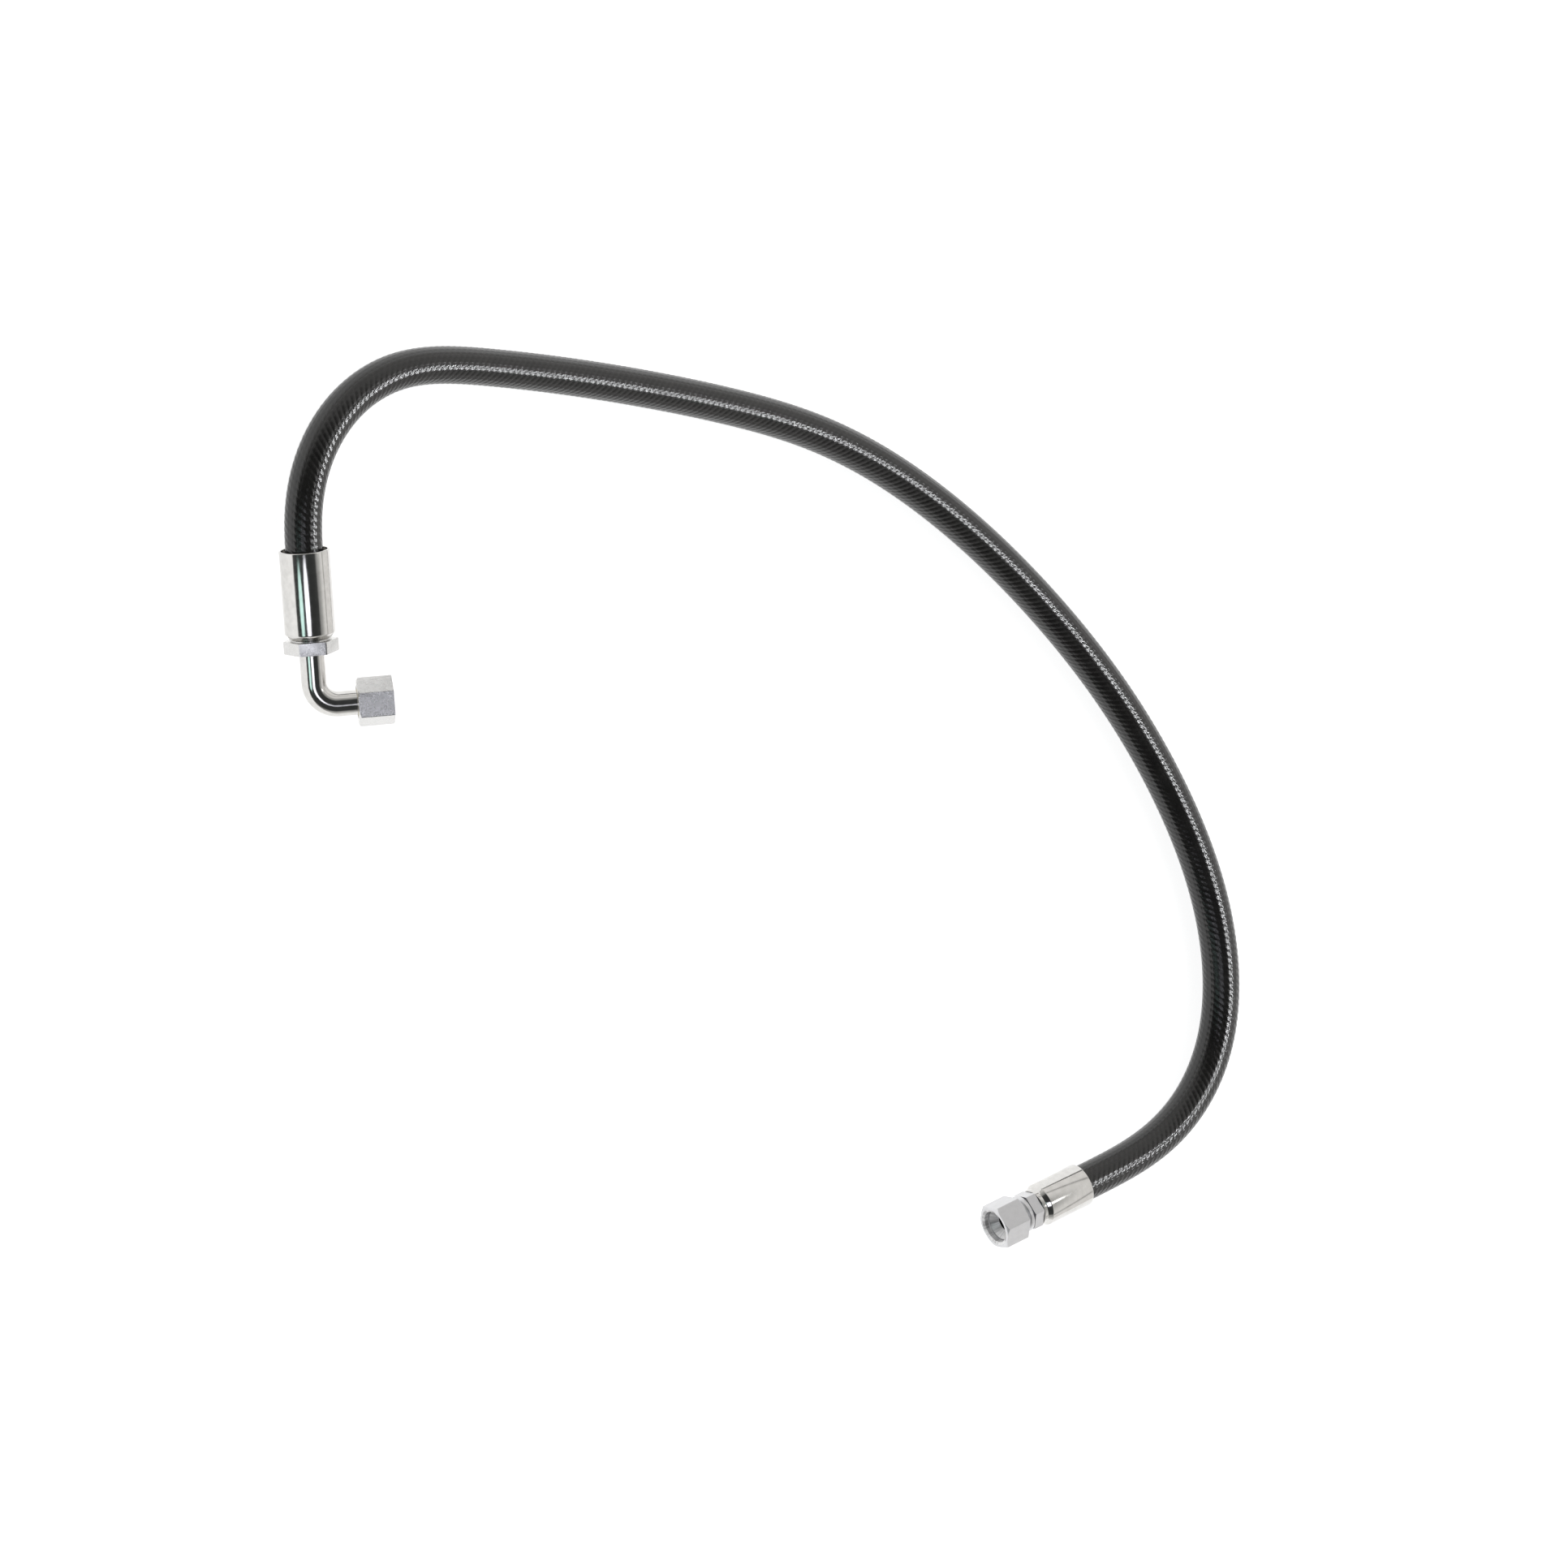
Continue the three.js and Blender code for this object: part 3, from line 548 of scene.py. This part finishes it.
def impression_tree():
    """A geometry tree that presses staggered pillows into a pipe's outer skin, as cloth or braid does."""
    group = bpy.data.node_groups.new("pressed_pattern", "GeometryNodeTree")
    sockets = group.interface
    sockets.new_socket("Geometry", in_out="INPUT", socket_type="NodeSocketGeometry")
    for label in ("Cells Around", "Cell Length", "Slant", "Relief"):
        sockets.new_socket(label, in_out="INPUT", socket_type="NodeSocketFloat")
    sockets.new_socket("Material", in_out="INPUT", socket_type="NodeSocketMaterial")
    sockets.new_socket("Geometry", in_out="OUTPUT", socket_type="NodeSocketGeometry")
    tree = Tree(group)
    given = tree.node("NodeGroupInput").outputs

    def attribute(name):
        read = tree.node("GeometryNodeInputNamedAttribute", {"Name": name}, data_type="FLOAT")
        return read.outputs["Attribute"]

    column = tree.math("MULTIPLY", attribute("around"), given["Cells Around"])
    row = tree.math("ADD",
                    tree.math("DIVIDE", attribute("along"), given["Cell Length"]),
                    tree.math("MULTIPLY", column, given["Slant"]))
    across = tree.math("ABSOLUTE", tree.math("COSINE", tree.math("MULTIPLY", column, math.pi)))
    along = tree.math("ABSOLUTE", tree.math("COSINE", tree.math("MULTIPLY", row, math.pi)))
    pillow = tree.math("MULTIPLY", along, tree.math("ADD", tree.math("MULTIPLY", across, 0.6), 0.4))
    height = tree.math("SUBTRACT", tree.math("MULTIPLY", pillow, 2.0), 1.0)
    lift = tree.math("MULTIPLY", tree.math("MULTIPLY", height, given["Relief"]), attribute("skin"))
    normal = tree.node("GeometryNodeInputNormal").outputs["Normal"]
    offset = tree.node("ShaderNodeVectorMath", {0: normal, "Scale": lift}, operation="SCALE")
    moved = tree.node("GeometryNodeSetPosition",
                      {"Geometry": given["Geometry"], "Offset": offset.outputs["Vector"]})
    real = tree.node("GeometryNodeRealizeInstances", {"Geometry": moved.outputs["Geometry"]})
    coloured = tree.node("GeometryNodeSetMaterial",
                         {"Geometry": real.outputs["Geometry"], "Material": given["Material"]})
    tree.node("NodeGroupOutput", {"Geometry": coloured.outputs["Geometry"]})
    return group


PRESSED_PATTERN = impression_tree()


def pressed(piece, cell_length, slant, relief, material):
    """Presses the staggered pattern into a hose layer."""
    step = piece.modifiers.new("pattern", "NODES")
    step.node_group = PRESSED_PATTERN
    values = {
        "Cells Around": float(CELLS_AROUND),
        "Cell Length": cell_length,
        "Slant": slant,
        "Relief": relief,
        "Material": material,
    }
    for item in PRESSED_PATTERN.interface.items_tree:
        if item.in_out == "INPUT" and item.name in values:
            step[item.identifier] = values[item.name]
    return applied(piece)


def make_hose():
    """The hose's five layers, all set on the hose's body. The cover is returned."""
    rows = CELL_ROWS * round(HOSE_LENGTH / CELL_LENGTH)
    path, stations = centre_line(rows)
    coarse = slice(None, None, LAYER_STEP)
    radius = HOSE_BORE / 2
    for name, wall, material, slot, relief in (
        ("hose_inner_tube", TUBE_WALL, TUBE_RUBBER, "tube_rubber", 0),
        ("hose_inner_braid", BRAID_WALL, BRAID, "wire_braid", BRAID_RELIEF),
        ("hose_middle_rubber", MIDDLE_WALL, TUBE_RUBBER, "tube_rubber", 0),
        ("hose_outer_braid", BRAID_WALL, BRAID, "wire_braid", BRAID_RELIEF),
    ):
        layer = swept(name + "_layer", path[coarse], stations[coarse], radius + wall, radius, LAYER_SIDES)
        if relief:
            pressed(layer, BRAID_CELL, 0.0, relief, material)
        finished(layer, Matrix(), material, BODY, slot, name)
        radius += wall + GAP
    cover = swept("hose_cover_wrapped", path, stations, HOSE_RADIUS - CLOTH_RELIEF, radius,
                  CELL_COLUMNS * CELLS_AROUND, INNER_WALL_STEP)
    pressed(cover, CELL_LENGTH, CLOTH_SLANT, CLOTH_RELIEF, COVER)
    finished(cover, Matrix(), COVER, BODY, "rubber_cover", "hose_cover")
    return cover


hose_cover = make_hose()


# ---- The ends' own frames ----


def end_frame(hose_end, inward):
    """The frame of an end: its origin at the collar's hose side, +X into the hose."""
    heading = (Vector(inward) - Vector(hose_end)).normalized()
    start = Vector(hose_end) - heading * (STOP_END + GAP)
    turn = Matrix.Rotation(math.atan2(heading.y, heading.x), 4, "Z")
    return Matrix.Translation(start) @ turn


ELBOW_END = end_frame(HOSE_ROUTE[0], HOSE_ROUTE[1])
STRAIGHT_END = end_frame(HOSE_ROUTE[-1], HOSE_ROUTE[-2])

# The elbow's corner, where its two straight axes cross; +X looks out along the leg and +Y to the collar.
ELBOW_CORNER = (
    ELBOW_END
    @ Matrix.Translation((-ELBOW_COLLAR_THICKNESS - ELBOW_STRAIGHT - ELBOW_BEND, 0, 0))
    @ Matrix.Rotation(-math.pi / 2, 4, "Z")
    @ Matrix.Rotation(-ELBOW_RISE, 4, "Y")
)
LEG_NUT_REAR = ELBOW_BEND + ELBOW_LEG
LEG_NOSE_REAR = LEG_NUT_REAR + NOSE_SET_BACK
LEG_TUBE_END = LEG_NOSE_REAR + NOSE_SOCKET_DEPTH
LEG = ELBOW_CORNER @ Matrix.Rotation(math.pi, 4, "Z")  # -X looks out along the leg
ELBOW_NUT_FACE = -LEG_NUT_REAR - ELBOW_NUT_LENGTH
STRAIGHT_NUT_REAR = -STRAIGHT_COLLAR_THICKNESS - TAIL_GAP
STRAIGHT_NUT_FACE = STRAIGHT_NUT_REAR - STRAIGHT_NUT_TAIL - STRAIGHT_NUT_HEX


# ---- Ferrules ----


def ferrule(name, start, length, wall, end_radius, end_taper, neck, mouth, place, node):
    """A crimped ferrule shell. Its flange sits in the nipple's groove and its bore has gripping teeth.

    mouth has the radius, depth and taper of the wider bore at the hose's end.
    """
    rim = start + length
    outer = FERRULE_BORE + wall
    mouth_radius, mouth_depth, mouth_taper = mouth
    shoulder = start + neck
    corners = [(start, GROOVE_RADIUS + GAP, 0)]
    if neck:
        neck_radius = end_radius - 0.4 * MM
        corners += [(start, neck_radius, 0.3 * MM), (shoulder - 0.4 * MM, neck_radius, 0.2 * MM)]
    corners += [
        (shoulder, end_radius, 0.5 * MM),
        (shoulder + end_taper, outer, 1.0 * MM),
        (rim, outer, 0.55 * MM),
        (rim, mouth_radius, 0.25 * MM),
        (rim - mouth_depth, mouth_radius, 0.6 * MM),
        (rim - mouth_depth - mouth_taper, FERRULE_BORE, 0.6 * MM),
    ]
    teeth_start = STOP_END + 3 * MM
    teeth = round((rim - mouth_depth - mouth_taper - teeth_start) / TOOTH_SPACING)
    pitch = (rim - mouth_depth - mouth_taper - 1 * MM - teeth_start) / teeth
    for k in range(teeth - 1, -1, -1):
        tooth = teeth_start + k * pitch
        root = FERRULE_BORE + TOOTH_DEPTH
        corners += [(tooth + 0.7 * pitch, FERRULE_BORE, 0.1 * MM), (tooth + 0.6 * pitch, root, 0.2 * MM),
                    (tooth + 0.2 * pitch, root, 0.2 * MM), (tooth, FERRULE_BORE, 0.1 * MM)]
    corners += [
        (STOP_END + GAP, FERRULE_BORE, 0),
        (STOP_END + GAP, STOP_RADIUS + 0.5 * MM, 0.2 * MM),
        (start + FLANGE_WALL, STOP_RADIUS + 0.5 * MM, 0.2 * MM),
        (start + FLANGE_WALL, GROOVE_RADIUS + GAP, 0),
    ]
    finished(turned(name, corners), place, BRIGHT, BODY, "zinc_bright", node)


ferrule("elbow_ferrule_shell", start=1.0 * MM, length=ELBOW_FERRULE_LENGTH, wall=ELBOW_FERRULE_WALL,
        end_radius=FERRULE_BORE + 0.6 * MM, end_taper=3.4 * MM, neck=0,
        mouth=(FERRULE_BORE + 2.2 * MM, 5 * MM, 2 * MM), place=ELBOW_END, node="elbow_ferrule")
ferrule("straight_ferrule_shell", start=GAP, length=STRAIGHT_FERRULE_LENGTH, wall=STRAIGHT_FERRULE_WALL,
        end_radius=FERRULE_BORE, end_taper=2.3 * MM, neck=3 * MM,
        mouth=(FERRULE_BORE + 0.1 * MM, 1.5 * MM, 0.5 * MM), place=STRAIGHT_END, node="straight_ferrule")


# ---- Nipples, noses and the bent tube ----


def stem(tip):
    """The barbed stem's outline, from its tip back to the hose stop and the ferrule's groove."""
    barb_start = STOP_END + 4 * MM
    pitch = (tip - 2 * MM - barb_start) / BARBS
    corners = [(tip, BARB_ROOT, 0.3 * MM)]
    for k in range(BARBS - 1, -1, -1):
        barb = barb_start + k * pitch
        corners += [(barb + 0.9 * pitch, BARB_ROOT, 0), (barb, BARB_RADIUS, 0.1 * MM),
                    (barb, BARB_ROOT, 0.1 * MM)]
    corners += [(STOP_END, BARB_ROOT, 0.2 * MM), (STOP_END, STOP_RADIUS, 0.2 * MM)]
    corners += [(STOP_START, STOP_RADIUS, 0.2 * MM), (STOP_START, GROOVE_RADIUS, 0)]
    return corners


def nose(rear, face, wire):
    """A swivel nose's outline from its rear end to its conical seat, which looks along -X."""
    front = face + SEAT_DEPTH
    half = WIRE_RADIUS + GAP
    groove = NOSE_RADIUS + GAP / 2 - half
    seat_length = (NOSE_RADIUS - ELBOW_TUBE_BORE) / math.tan(SEAT_ANGLE)
    return [
        (rear, NOSE_RADIUS, 0.2 * MM),
        (wire + half, NOSE_RADIUS, 0),
        (wire + half, groove, 0.4 * MM),
        (wire - half, groove, 0.4 * MM),
        (wire - half, NOSE_RADIUS, 0),
        (front, NOSE_RADIUS, 0.25 * MM),
        (front + seat_length, ELBOW_TUBE_BORE, 0.5 * MM),
    ]


def collar(name, flats, start, end, bore):
    """A hexagonal ring to be joined onto a turned core, its corners turned off a little at both faces."""
    bar = hex_bar(name + "_bar", flats, start - 1 * MM, end + 1 * MM, 0.25 * MM)
    corner = flats / math.sqrt(3)
    blank = turned(name, [
        (start, bore, 0), (start, corner - 0.5 * MM, 0.1 * MM), (start + 0.35 * MM, corner + 0.3 * MM, 0),
        (end - 0.35 * MM, corner + 0.3 * MM, 0), (end, corner - 0.5 * MM, 0.1 * MM), (end, bore, 0),
    ])
    return carved(blank, bar, "INTERSECT")


def face_mouth(piece, place, face):
    """Gives a nut's countersink and mouth the turned steel of the seat behind them, with its painted
    shading bands.
    """
    piece.data.materials.append(PAINTED_BAND_SEAT)
    to_own = place.inverted()
    for polygon in piece.data.polygons:
        here = to_own @ polygon.center
        radius = math.hypot(here.y, here.z)
        # these faces take the seat steel, whose colour holds painted shading bands
        if radius < NUT_MOUTH - TOUCH and face + TOUCH < here.x < face + SEAT_DEPTH:
            polygon.material_index = 1


def face_inner_walls(piece, place, front):
    """Gives the conical seat its turned steel with painted shading bands, and the fluid passage behind it
    near-black steel that is painted shade.
    """
    piece.data.materials.append(PAINTED_BAND_SEAT)
    piece.data.materials.append(SHADE_PAINTED_BORE)
    to_own = place.inverted()
    seat_end = front + (NOSE_RADIUS - ELBOW_TUBE_BORE) / math.tan(SEAT_ANGLE)
    for polygon in piece.data.polygons:
        here = to_own @ polygon.center
        radius = math.hypot(here.y, here.z)
        # painted shade: the fluid passage's faces get the near-black bore steel
        if radius < ELBOW_TUBE_BORE + TOUCH and here.x > seat_end - 2 * TOUCH:
            polygon.material_index = 2
        elif radius < NOSE_RADIUS - TOUCH and front - 0.2 * TOUCH < here.x < seat_end + 4 * TOUCH:
            polygon.material_index = 1


def make_elbow_nipple():
    end = -ELBOW_COLLAR_THICKNESS
    core = turned("elbow_nipple_body", [
        *stem(ELBOW_STEM_TIP),
        (0.7 * MM, GROOVE_RADIUS, 0),
        (0.7 * MM, GROOVE_RADIUS + 3.8 * MM, 0.15 * MM),
        (-0.5 * MM, GROOVE_RADIUS + 3.8 * MM, 0),
        (end + 0.5 * MM, SOCKET_RADIUS + 2 * MM, 0),
        (end, SOCKET_RADIUS + 1.5 * MM, 0),
        (end, SOCKET_RADIUS, 0.2 * MM),
        (-COLLAR_WEB, SOCKET_RADIUS, 0.2 * MM),
        (-COLLAR_WEB, STEM_BORE, 0.2 * MM),
        (ELBOW_STEM_TIP, STEM_BORE, 0.2 * MM),
    ])
    carved(core, collar("elbow_collar", ELBOW_COLLAR_FLATS, end, 0, SOCKET_RADIUS + 0.8 * MM), "UNION")
    finished(core, ELBOW_END, MILLED, BODY, "zinc_satin", "elbow_nipple")


def make_straight_nipple():
    end = -STRAIGHT_COLLAR_THICKNESS
    core = turned("straight_nipple_body", [
        *stem(STRAIGHT_STEM_TIP),
        (-0.5 * MM, GROOVE_RADIUS, 0),
        (-0.5 * MM, NOSE_RADIUS, 0),
        *nose(end, STRAIGHT_NUT_FACE, STRAIGHT_NUT_REAR - WIRE_FROM_REAR),
        (end - 2 * MM, ELBOW_TUBE_BORE, 0.3 * MM),
        (end, STEM_BORE, 0.3 * MM),
        (STRAIGHT_STEM_TIP, STEM_BORE, 0.2 * MM),
    ])
    carved(core, collar("straight_collar", STRAIGHT_COLLAR_FLATS, end, 0, 7 * MM), "UNION")
    finished(core, STRAIGHT_END, SATIN, BODY, "zinc_satin", "straight_nipple")
    face_inner_walls(core, STRAIGHT_END, STRAIGHT_NUT_FACE + SEAT_DEPTH)


def make_elbow_nose():
    socket_end = -LEG_TUBE_END - GAP
    piece = turned("elbow_nose_ring", [
        *nose(-LEG_NOSE_REAR, ELBOW_NUT_FACE, -LEG_NUT_REAR - WIRE_FROM_REAR),
        (socket_end, ELBOW_TUBE_BORE, 0.2 * MM),
        (socket_end, SOCKET_RADIUS, 0.2 * MM),
        (-LEG_NOSE_REAR, SOCKET_RADIUS, 0.2 * MM),
    ])
    finished(piece, LEG, SATIN, BODY, "zinc_satin", "elbow_nose")
    face_inner_walls(piece, LEG, ELBOW_NUT_FACE + SEAT_DEPTH)


def make_elbow_tube():
    """The bent tube: down from the collar, round the bend and out along the leg to the nose."""
    top = ELBOW_BEND + ELBOW_STRAIGHT + ELBOW_COLLAR_THICKNESS - COLLAR_WEB - GAP
    points = [(0, y) for y in np.linspace(top, ELBOW_BEND, 14)]
    for angle in np.linspace(0, math.pi / 2, 33)[1:]:
        points.append((ELBOW_BEND * (1 - math.cos(angle)), ELBOW_BEND * (1 - math.sin(angle))))
    points += [(x, 0) for x in np.linspace(ELBOW_BEND, LEG_TUBE_END, 12)[1:]]
    path = np.array([(x, y, 0) for x, y in points])
    stations = np.concatenate([[0], np.cumsum(np.linalg.norm(np.diff(path, axis=0), axis=1))])
    tube = swept("elbow_tube_bent", path, stations, ELBOW_TUBE_RADIUS, ELBOW_TUBE_BORE, 64)
    finished(tube, ELBOW_CORNER, BRIGHT, BODY, "zinc_bright", "elbow_tube")


make_elbow_nipple()
make_straight_nipple()
make_elbow_nose()
make_elbow_tube()


# ---- Swivel nuts and their wires ----


def nut(name, hex_length, tail, face, chamfer_front, chamfer_rear):
    """A swivel nut, its mouth looking along -X and its front face at x = face.

    A chamfered end of the hexagon is turned down to a round face, and another only has its edge broken.
    A plain bore stands for the mouth's thread.
    """
    corner = NUT_FLATS / math.sqrt(3) + 0.05 * MM
    hex_end = face + hex_length
    rear = hex_end + tail
    wire = rear - WIRE_FROM_REAR
    half = WIRE_RADIUS + GAP
    groove = NOSE_RADIUS + GAP / 2 + half
    face_radius = NUT_FLATS / 2 + 0.2 * MM
    clear = corner + 0.1 * MM
    front = [(face, corner - 0.35 * MM, 0.1 * MM), (face + HEX_EDGE_BREAK, clear, 0)]
    if chamfer_front:
        front = [(face, face_radius, 0.15 * MM), (face + HEX_CHAMFER, clear, 0)]
    back = [(hex_end - HEX_EDGE_BREAK, clear, 0), (hex_end, corner - 0.5 * MM, 0.1 * MM)]
    if chamfer_rear:
        back = [(hex_end - HEX_CHAMFER, clear, 0), (hex_end, face_radius, 0.15 * MM)]
    tail_radius = NUT_BORE + 1.7 * MM
    neck_radius = tail_radius - 0.8 * MM
    bead = [
        (hex_end, neck_radius, 0.3 * MM),
        (hex_end + 2.4 * MM, neck_radius, 0.5 * MM),
        (hex_end + 3.0 * MM, tail_radius, 0.9 * MM),
        (rear, tail_radius, 1.3 * MM),
    ] if tail else []
    relief_end = face + SEAT_DEPTH - RELIEF_BEFORE_SEAT
    blank = turned(name, [
        (face, NUT_MOUTH, 0.1 * MM),
        *front,
        *back,
        *bead,
        (rear, NUT_BORE, 0.2 * MM),
        (wire + half, NUT_BORE, 0),
        (wire + half, groove, 0.4 * MM),
        (wire - half, groove, 0.4 * MM),
        (wire - half, NUT_BORE, 0),
        (relief_end + 0.3 * MM, NUT_BORE, 0),
        (relief_end, RELIEF_RADIUS, 0),
        (relief_end - TOUCH, RELIEF_RADIUS, 0),
        (face + MOUTH_TAPER, RELIEF_RADIUS, 0),
    ])
    carved(blank, hex_bar(name + "_bar", NUT_FLATS, face - 1 * MM, rear + 1 * MM, 0.3 * MM), "INTERSECT")
    hole = new_hole(wire, NUT_BORE + NUT_FLATS / 8)
    return carved(blank, hole, "DIFFERENCE")


def new_hole(x, middle):
    """A short radial drill at x, on the local -Y side, for the thrust wire's end."""
    reach, core = 4 * MM, 0.05 * MM
    outline = [(-reach, core, 0), (-reach, WIRE_HOLE_RADIUS, 0),
               (reach, WIRE_HOLE_RADIUS, 0), (reach, core, 0)]
    drill = turned("drill", outline, sides=24)
    drill.data.transform(Matrix.Translation((x, -middle, 0)) @ Matrix.Rotation(math.pi / 2, 4, "Z"))
    return drill


def thrust_wire(name, wire, place, node):
    """The wire ring between a nut and its nose."""
    centre = NOSE_RADIUS + GAP / 2
    ring = [
        (wire + WIRE_RADIUS * math.cos(a), centre + WIRE_RADIUS * math.sin(a), 0)
        for a in np.linspace(0, 2 * math.pi, 16, endpoint=False)
    ]
    finished(turned(name, ring), place, WIRE_STEEL, BODY, "spring_wire", node)


def braze_fillet(name, face, dx, place, node):
    """The hollow fillet of braze between a face at x = face and the bent tube."""
    inner = ELBOW_TUBE_RADIUS + TOUCH
    start = face + dx * TOUCH
    hollow = [
        (start + dx * BRAZE_LEG * (1 - math.sin(a)), inner + BRAZE_LEG * (1 - math.cos(a)), 0)
        for a in np.linspace(0, math.pi / 2, 8)
    ]
    finished(turned(name, [(start, inner, 0), *hollow]), place, BRAZE, BODY, "braze_metal", node)


straight_nut = nut("straight_swivel_nut", STRAIGHT_NUT_HEX, STRAIGHT_NUT_TAIL, STRAIGHT_NUT_FACE,
                   chamfer_front=True, chamfer_rear=False)
finished(straight_nut, STRAIGHT_END, SATIN, STRAIGHT_NUT_BODY, "zinc_satin", "straight_nut")
face_mouth(straight_nut, STRAIGHT_END, STRAIGHT_NUT_FACE)
elbow_nut = nut("elbow_swivel_nut", ELBOW_NUT_LENGTH, 0, ELBOW_NUT_FACE,
                chamfer_front=False, chamfer_rear=True)
ELBOW_NUT_PLACE = LEG @ Matrix.Rotation(math.pi / 6, 4, "X")
finished(elbow_nut, ELBOW_NUT_PLACE, ROLLED, ELBOW_NUT_BODY, "zinc_satin", "elbow_nut")
face_mouth(elbow_nut, LEG, ELBOW_NUT_FACE)

thrust_wire("straight_wire_ring", STRAIGHT_NUT_REAR - WIRE_FROM_REAR, STRAIGHT_END, "straight_thrust_wire")
thrust_wire("elbow_wire_ring", -LEG_NUT_REAR - WIRE_FROM_REAR, LEG, "elbow_thrust_wire")
braze_fillet("elbow_collar_fillet", -ELBOW_COLLAR_THICKNESS, -1, ELBOW_END, "elbow_collar_braze")
braze_fillet("elbow_nose_fillet", -LEG_NOSE_REAR, 1, LEG, "elbow_nose_braze")


# ---- Floor and light ----

FLOOR_REACH = 30.0


def make_floor():
    corners = [(x * FLOOR_REACH, y * FLOOR_REACH, 0) for x, y in ((-1, -1), (1, -1), (1, 1), (-1, 1))]
    floor = new_object("floor", corners, [(0, 1, 2, 3)])
    material, tree, shader = new_material("pale_floor")
    shader.inputs["Base Color"].default_value = (0.8, 0.8, 0.8, 1)
    shader.inputs["Roughness"].default_value = 0.9
    shader.inputs["Specular IOR Level"].default_value = 0.1
    shader.inputs["Emission Color"].default_value = (1, 1, 1, 1)
    shader.inputs["Emission Strength"].default_value = 0.85
    floor.data.materials.append(material)


def reflected(sideways, upwards):
    """The direction whose light is mirrored to the camera by a surface tilted this much from facing it."""
    facing = math.sqrt(1 - sideways ** 2 - upwards ** 2)
    normal = CAMERA_RIGHT * sideways + CAMERA_UP * upwards + CAMERA_BACK * facing
    return 2 * normal.dot(CAMERA_BACK) * normal - CAMERA_BACK


def softbox(name, direction, size, brightness, colour, only=()):
    """A round light far away, size across as seen from the object.

    It lights only the pieces in only, if any are given.
    """
    data = bpy.data.lights.new(name, "SUN")
    data.angle = size
    data.energy = brightness * math.pi * math.sin(size / 2) ** 2
    data.color = colour
    data.use_shadow = False
    light = bpy.data.objects.new(name, data)
    light.rotation_mode = "QUATERNION"
    light.rotation_quaternion = direction.to_track_quat("Z", "Y")
    bpy.context.scene.collection.objects.link(light)
    if only:
        lit = bpy.data.collections.new(name + "_lights")
        for piece in only:
            lit.objects.link(piece)
        light.light_linking.receiver_collection = lit


def make_room():
    """A white room that darkens softly towards the place where the camera stands."""
    world = bpy.data.worlds.new("room")
    world.use_nodes = True
    bpy.context.scene.world = world
    tree = Tree(world.node_tree)
    direction = tree.vector("NORMALIZE", tree.node("ShaderNodeTexCoord").outputs["Generated"])
    nearness = tree.vector("DOT_PRODUCT", direction, tuple(reflected(0.0, -0.175)))
    walls = tree.ramp(nearness, [
        (0.0, (0.92, 0.905, 0.89)),
        (0.035, (0.34, 0.34, 0.335)),
        (0.06, (0.34, 0.34, 0.335)),
        (0.10, (0.92, 0.905, 0.89)),
        (0.26, (0.86, 0.85, 0.835)),
        (0.42, (0.52, 0.52, 0.51)),
        (0.60, (0.30, 0.30, 0.295)),
        (0.65, (0.055, 0.057, 0.057)),
        (0.90, (0.04, 0.042, 0.042)),
    ])
    background = world.node_tree.nodes["Background"]
    tree.join(walls, background, "Color")
    background.inputs["Strength"].default_value = 1.0


make_floor()
make_room()
softbox("overhead_softbox", reflected(0.5794, -0.1029), math.radians(7), 105.0, (0.97, 0.98, 1.0),
        only=[hose_cover])
softbox("overhead_glow", reflected(0.50, 0.05), math.radians(9), 2.2, (1.0, 1.0, 1.0))
softbox("front_softbox", reflected(0.0, -0.165), math.radians(19), 2.2, (0.90, 0.91, 1.0))
softbox("side_softbox", reflected(-0.24, -0.177), math.radians(16), 1.4, (0.70, 1.0, 0.94))
bpy.context.scene.view_settings.view_transform = "Standard"
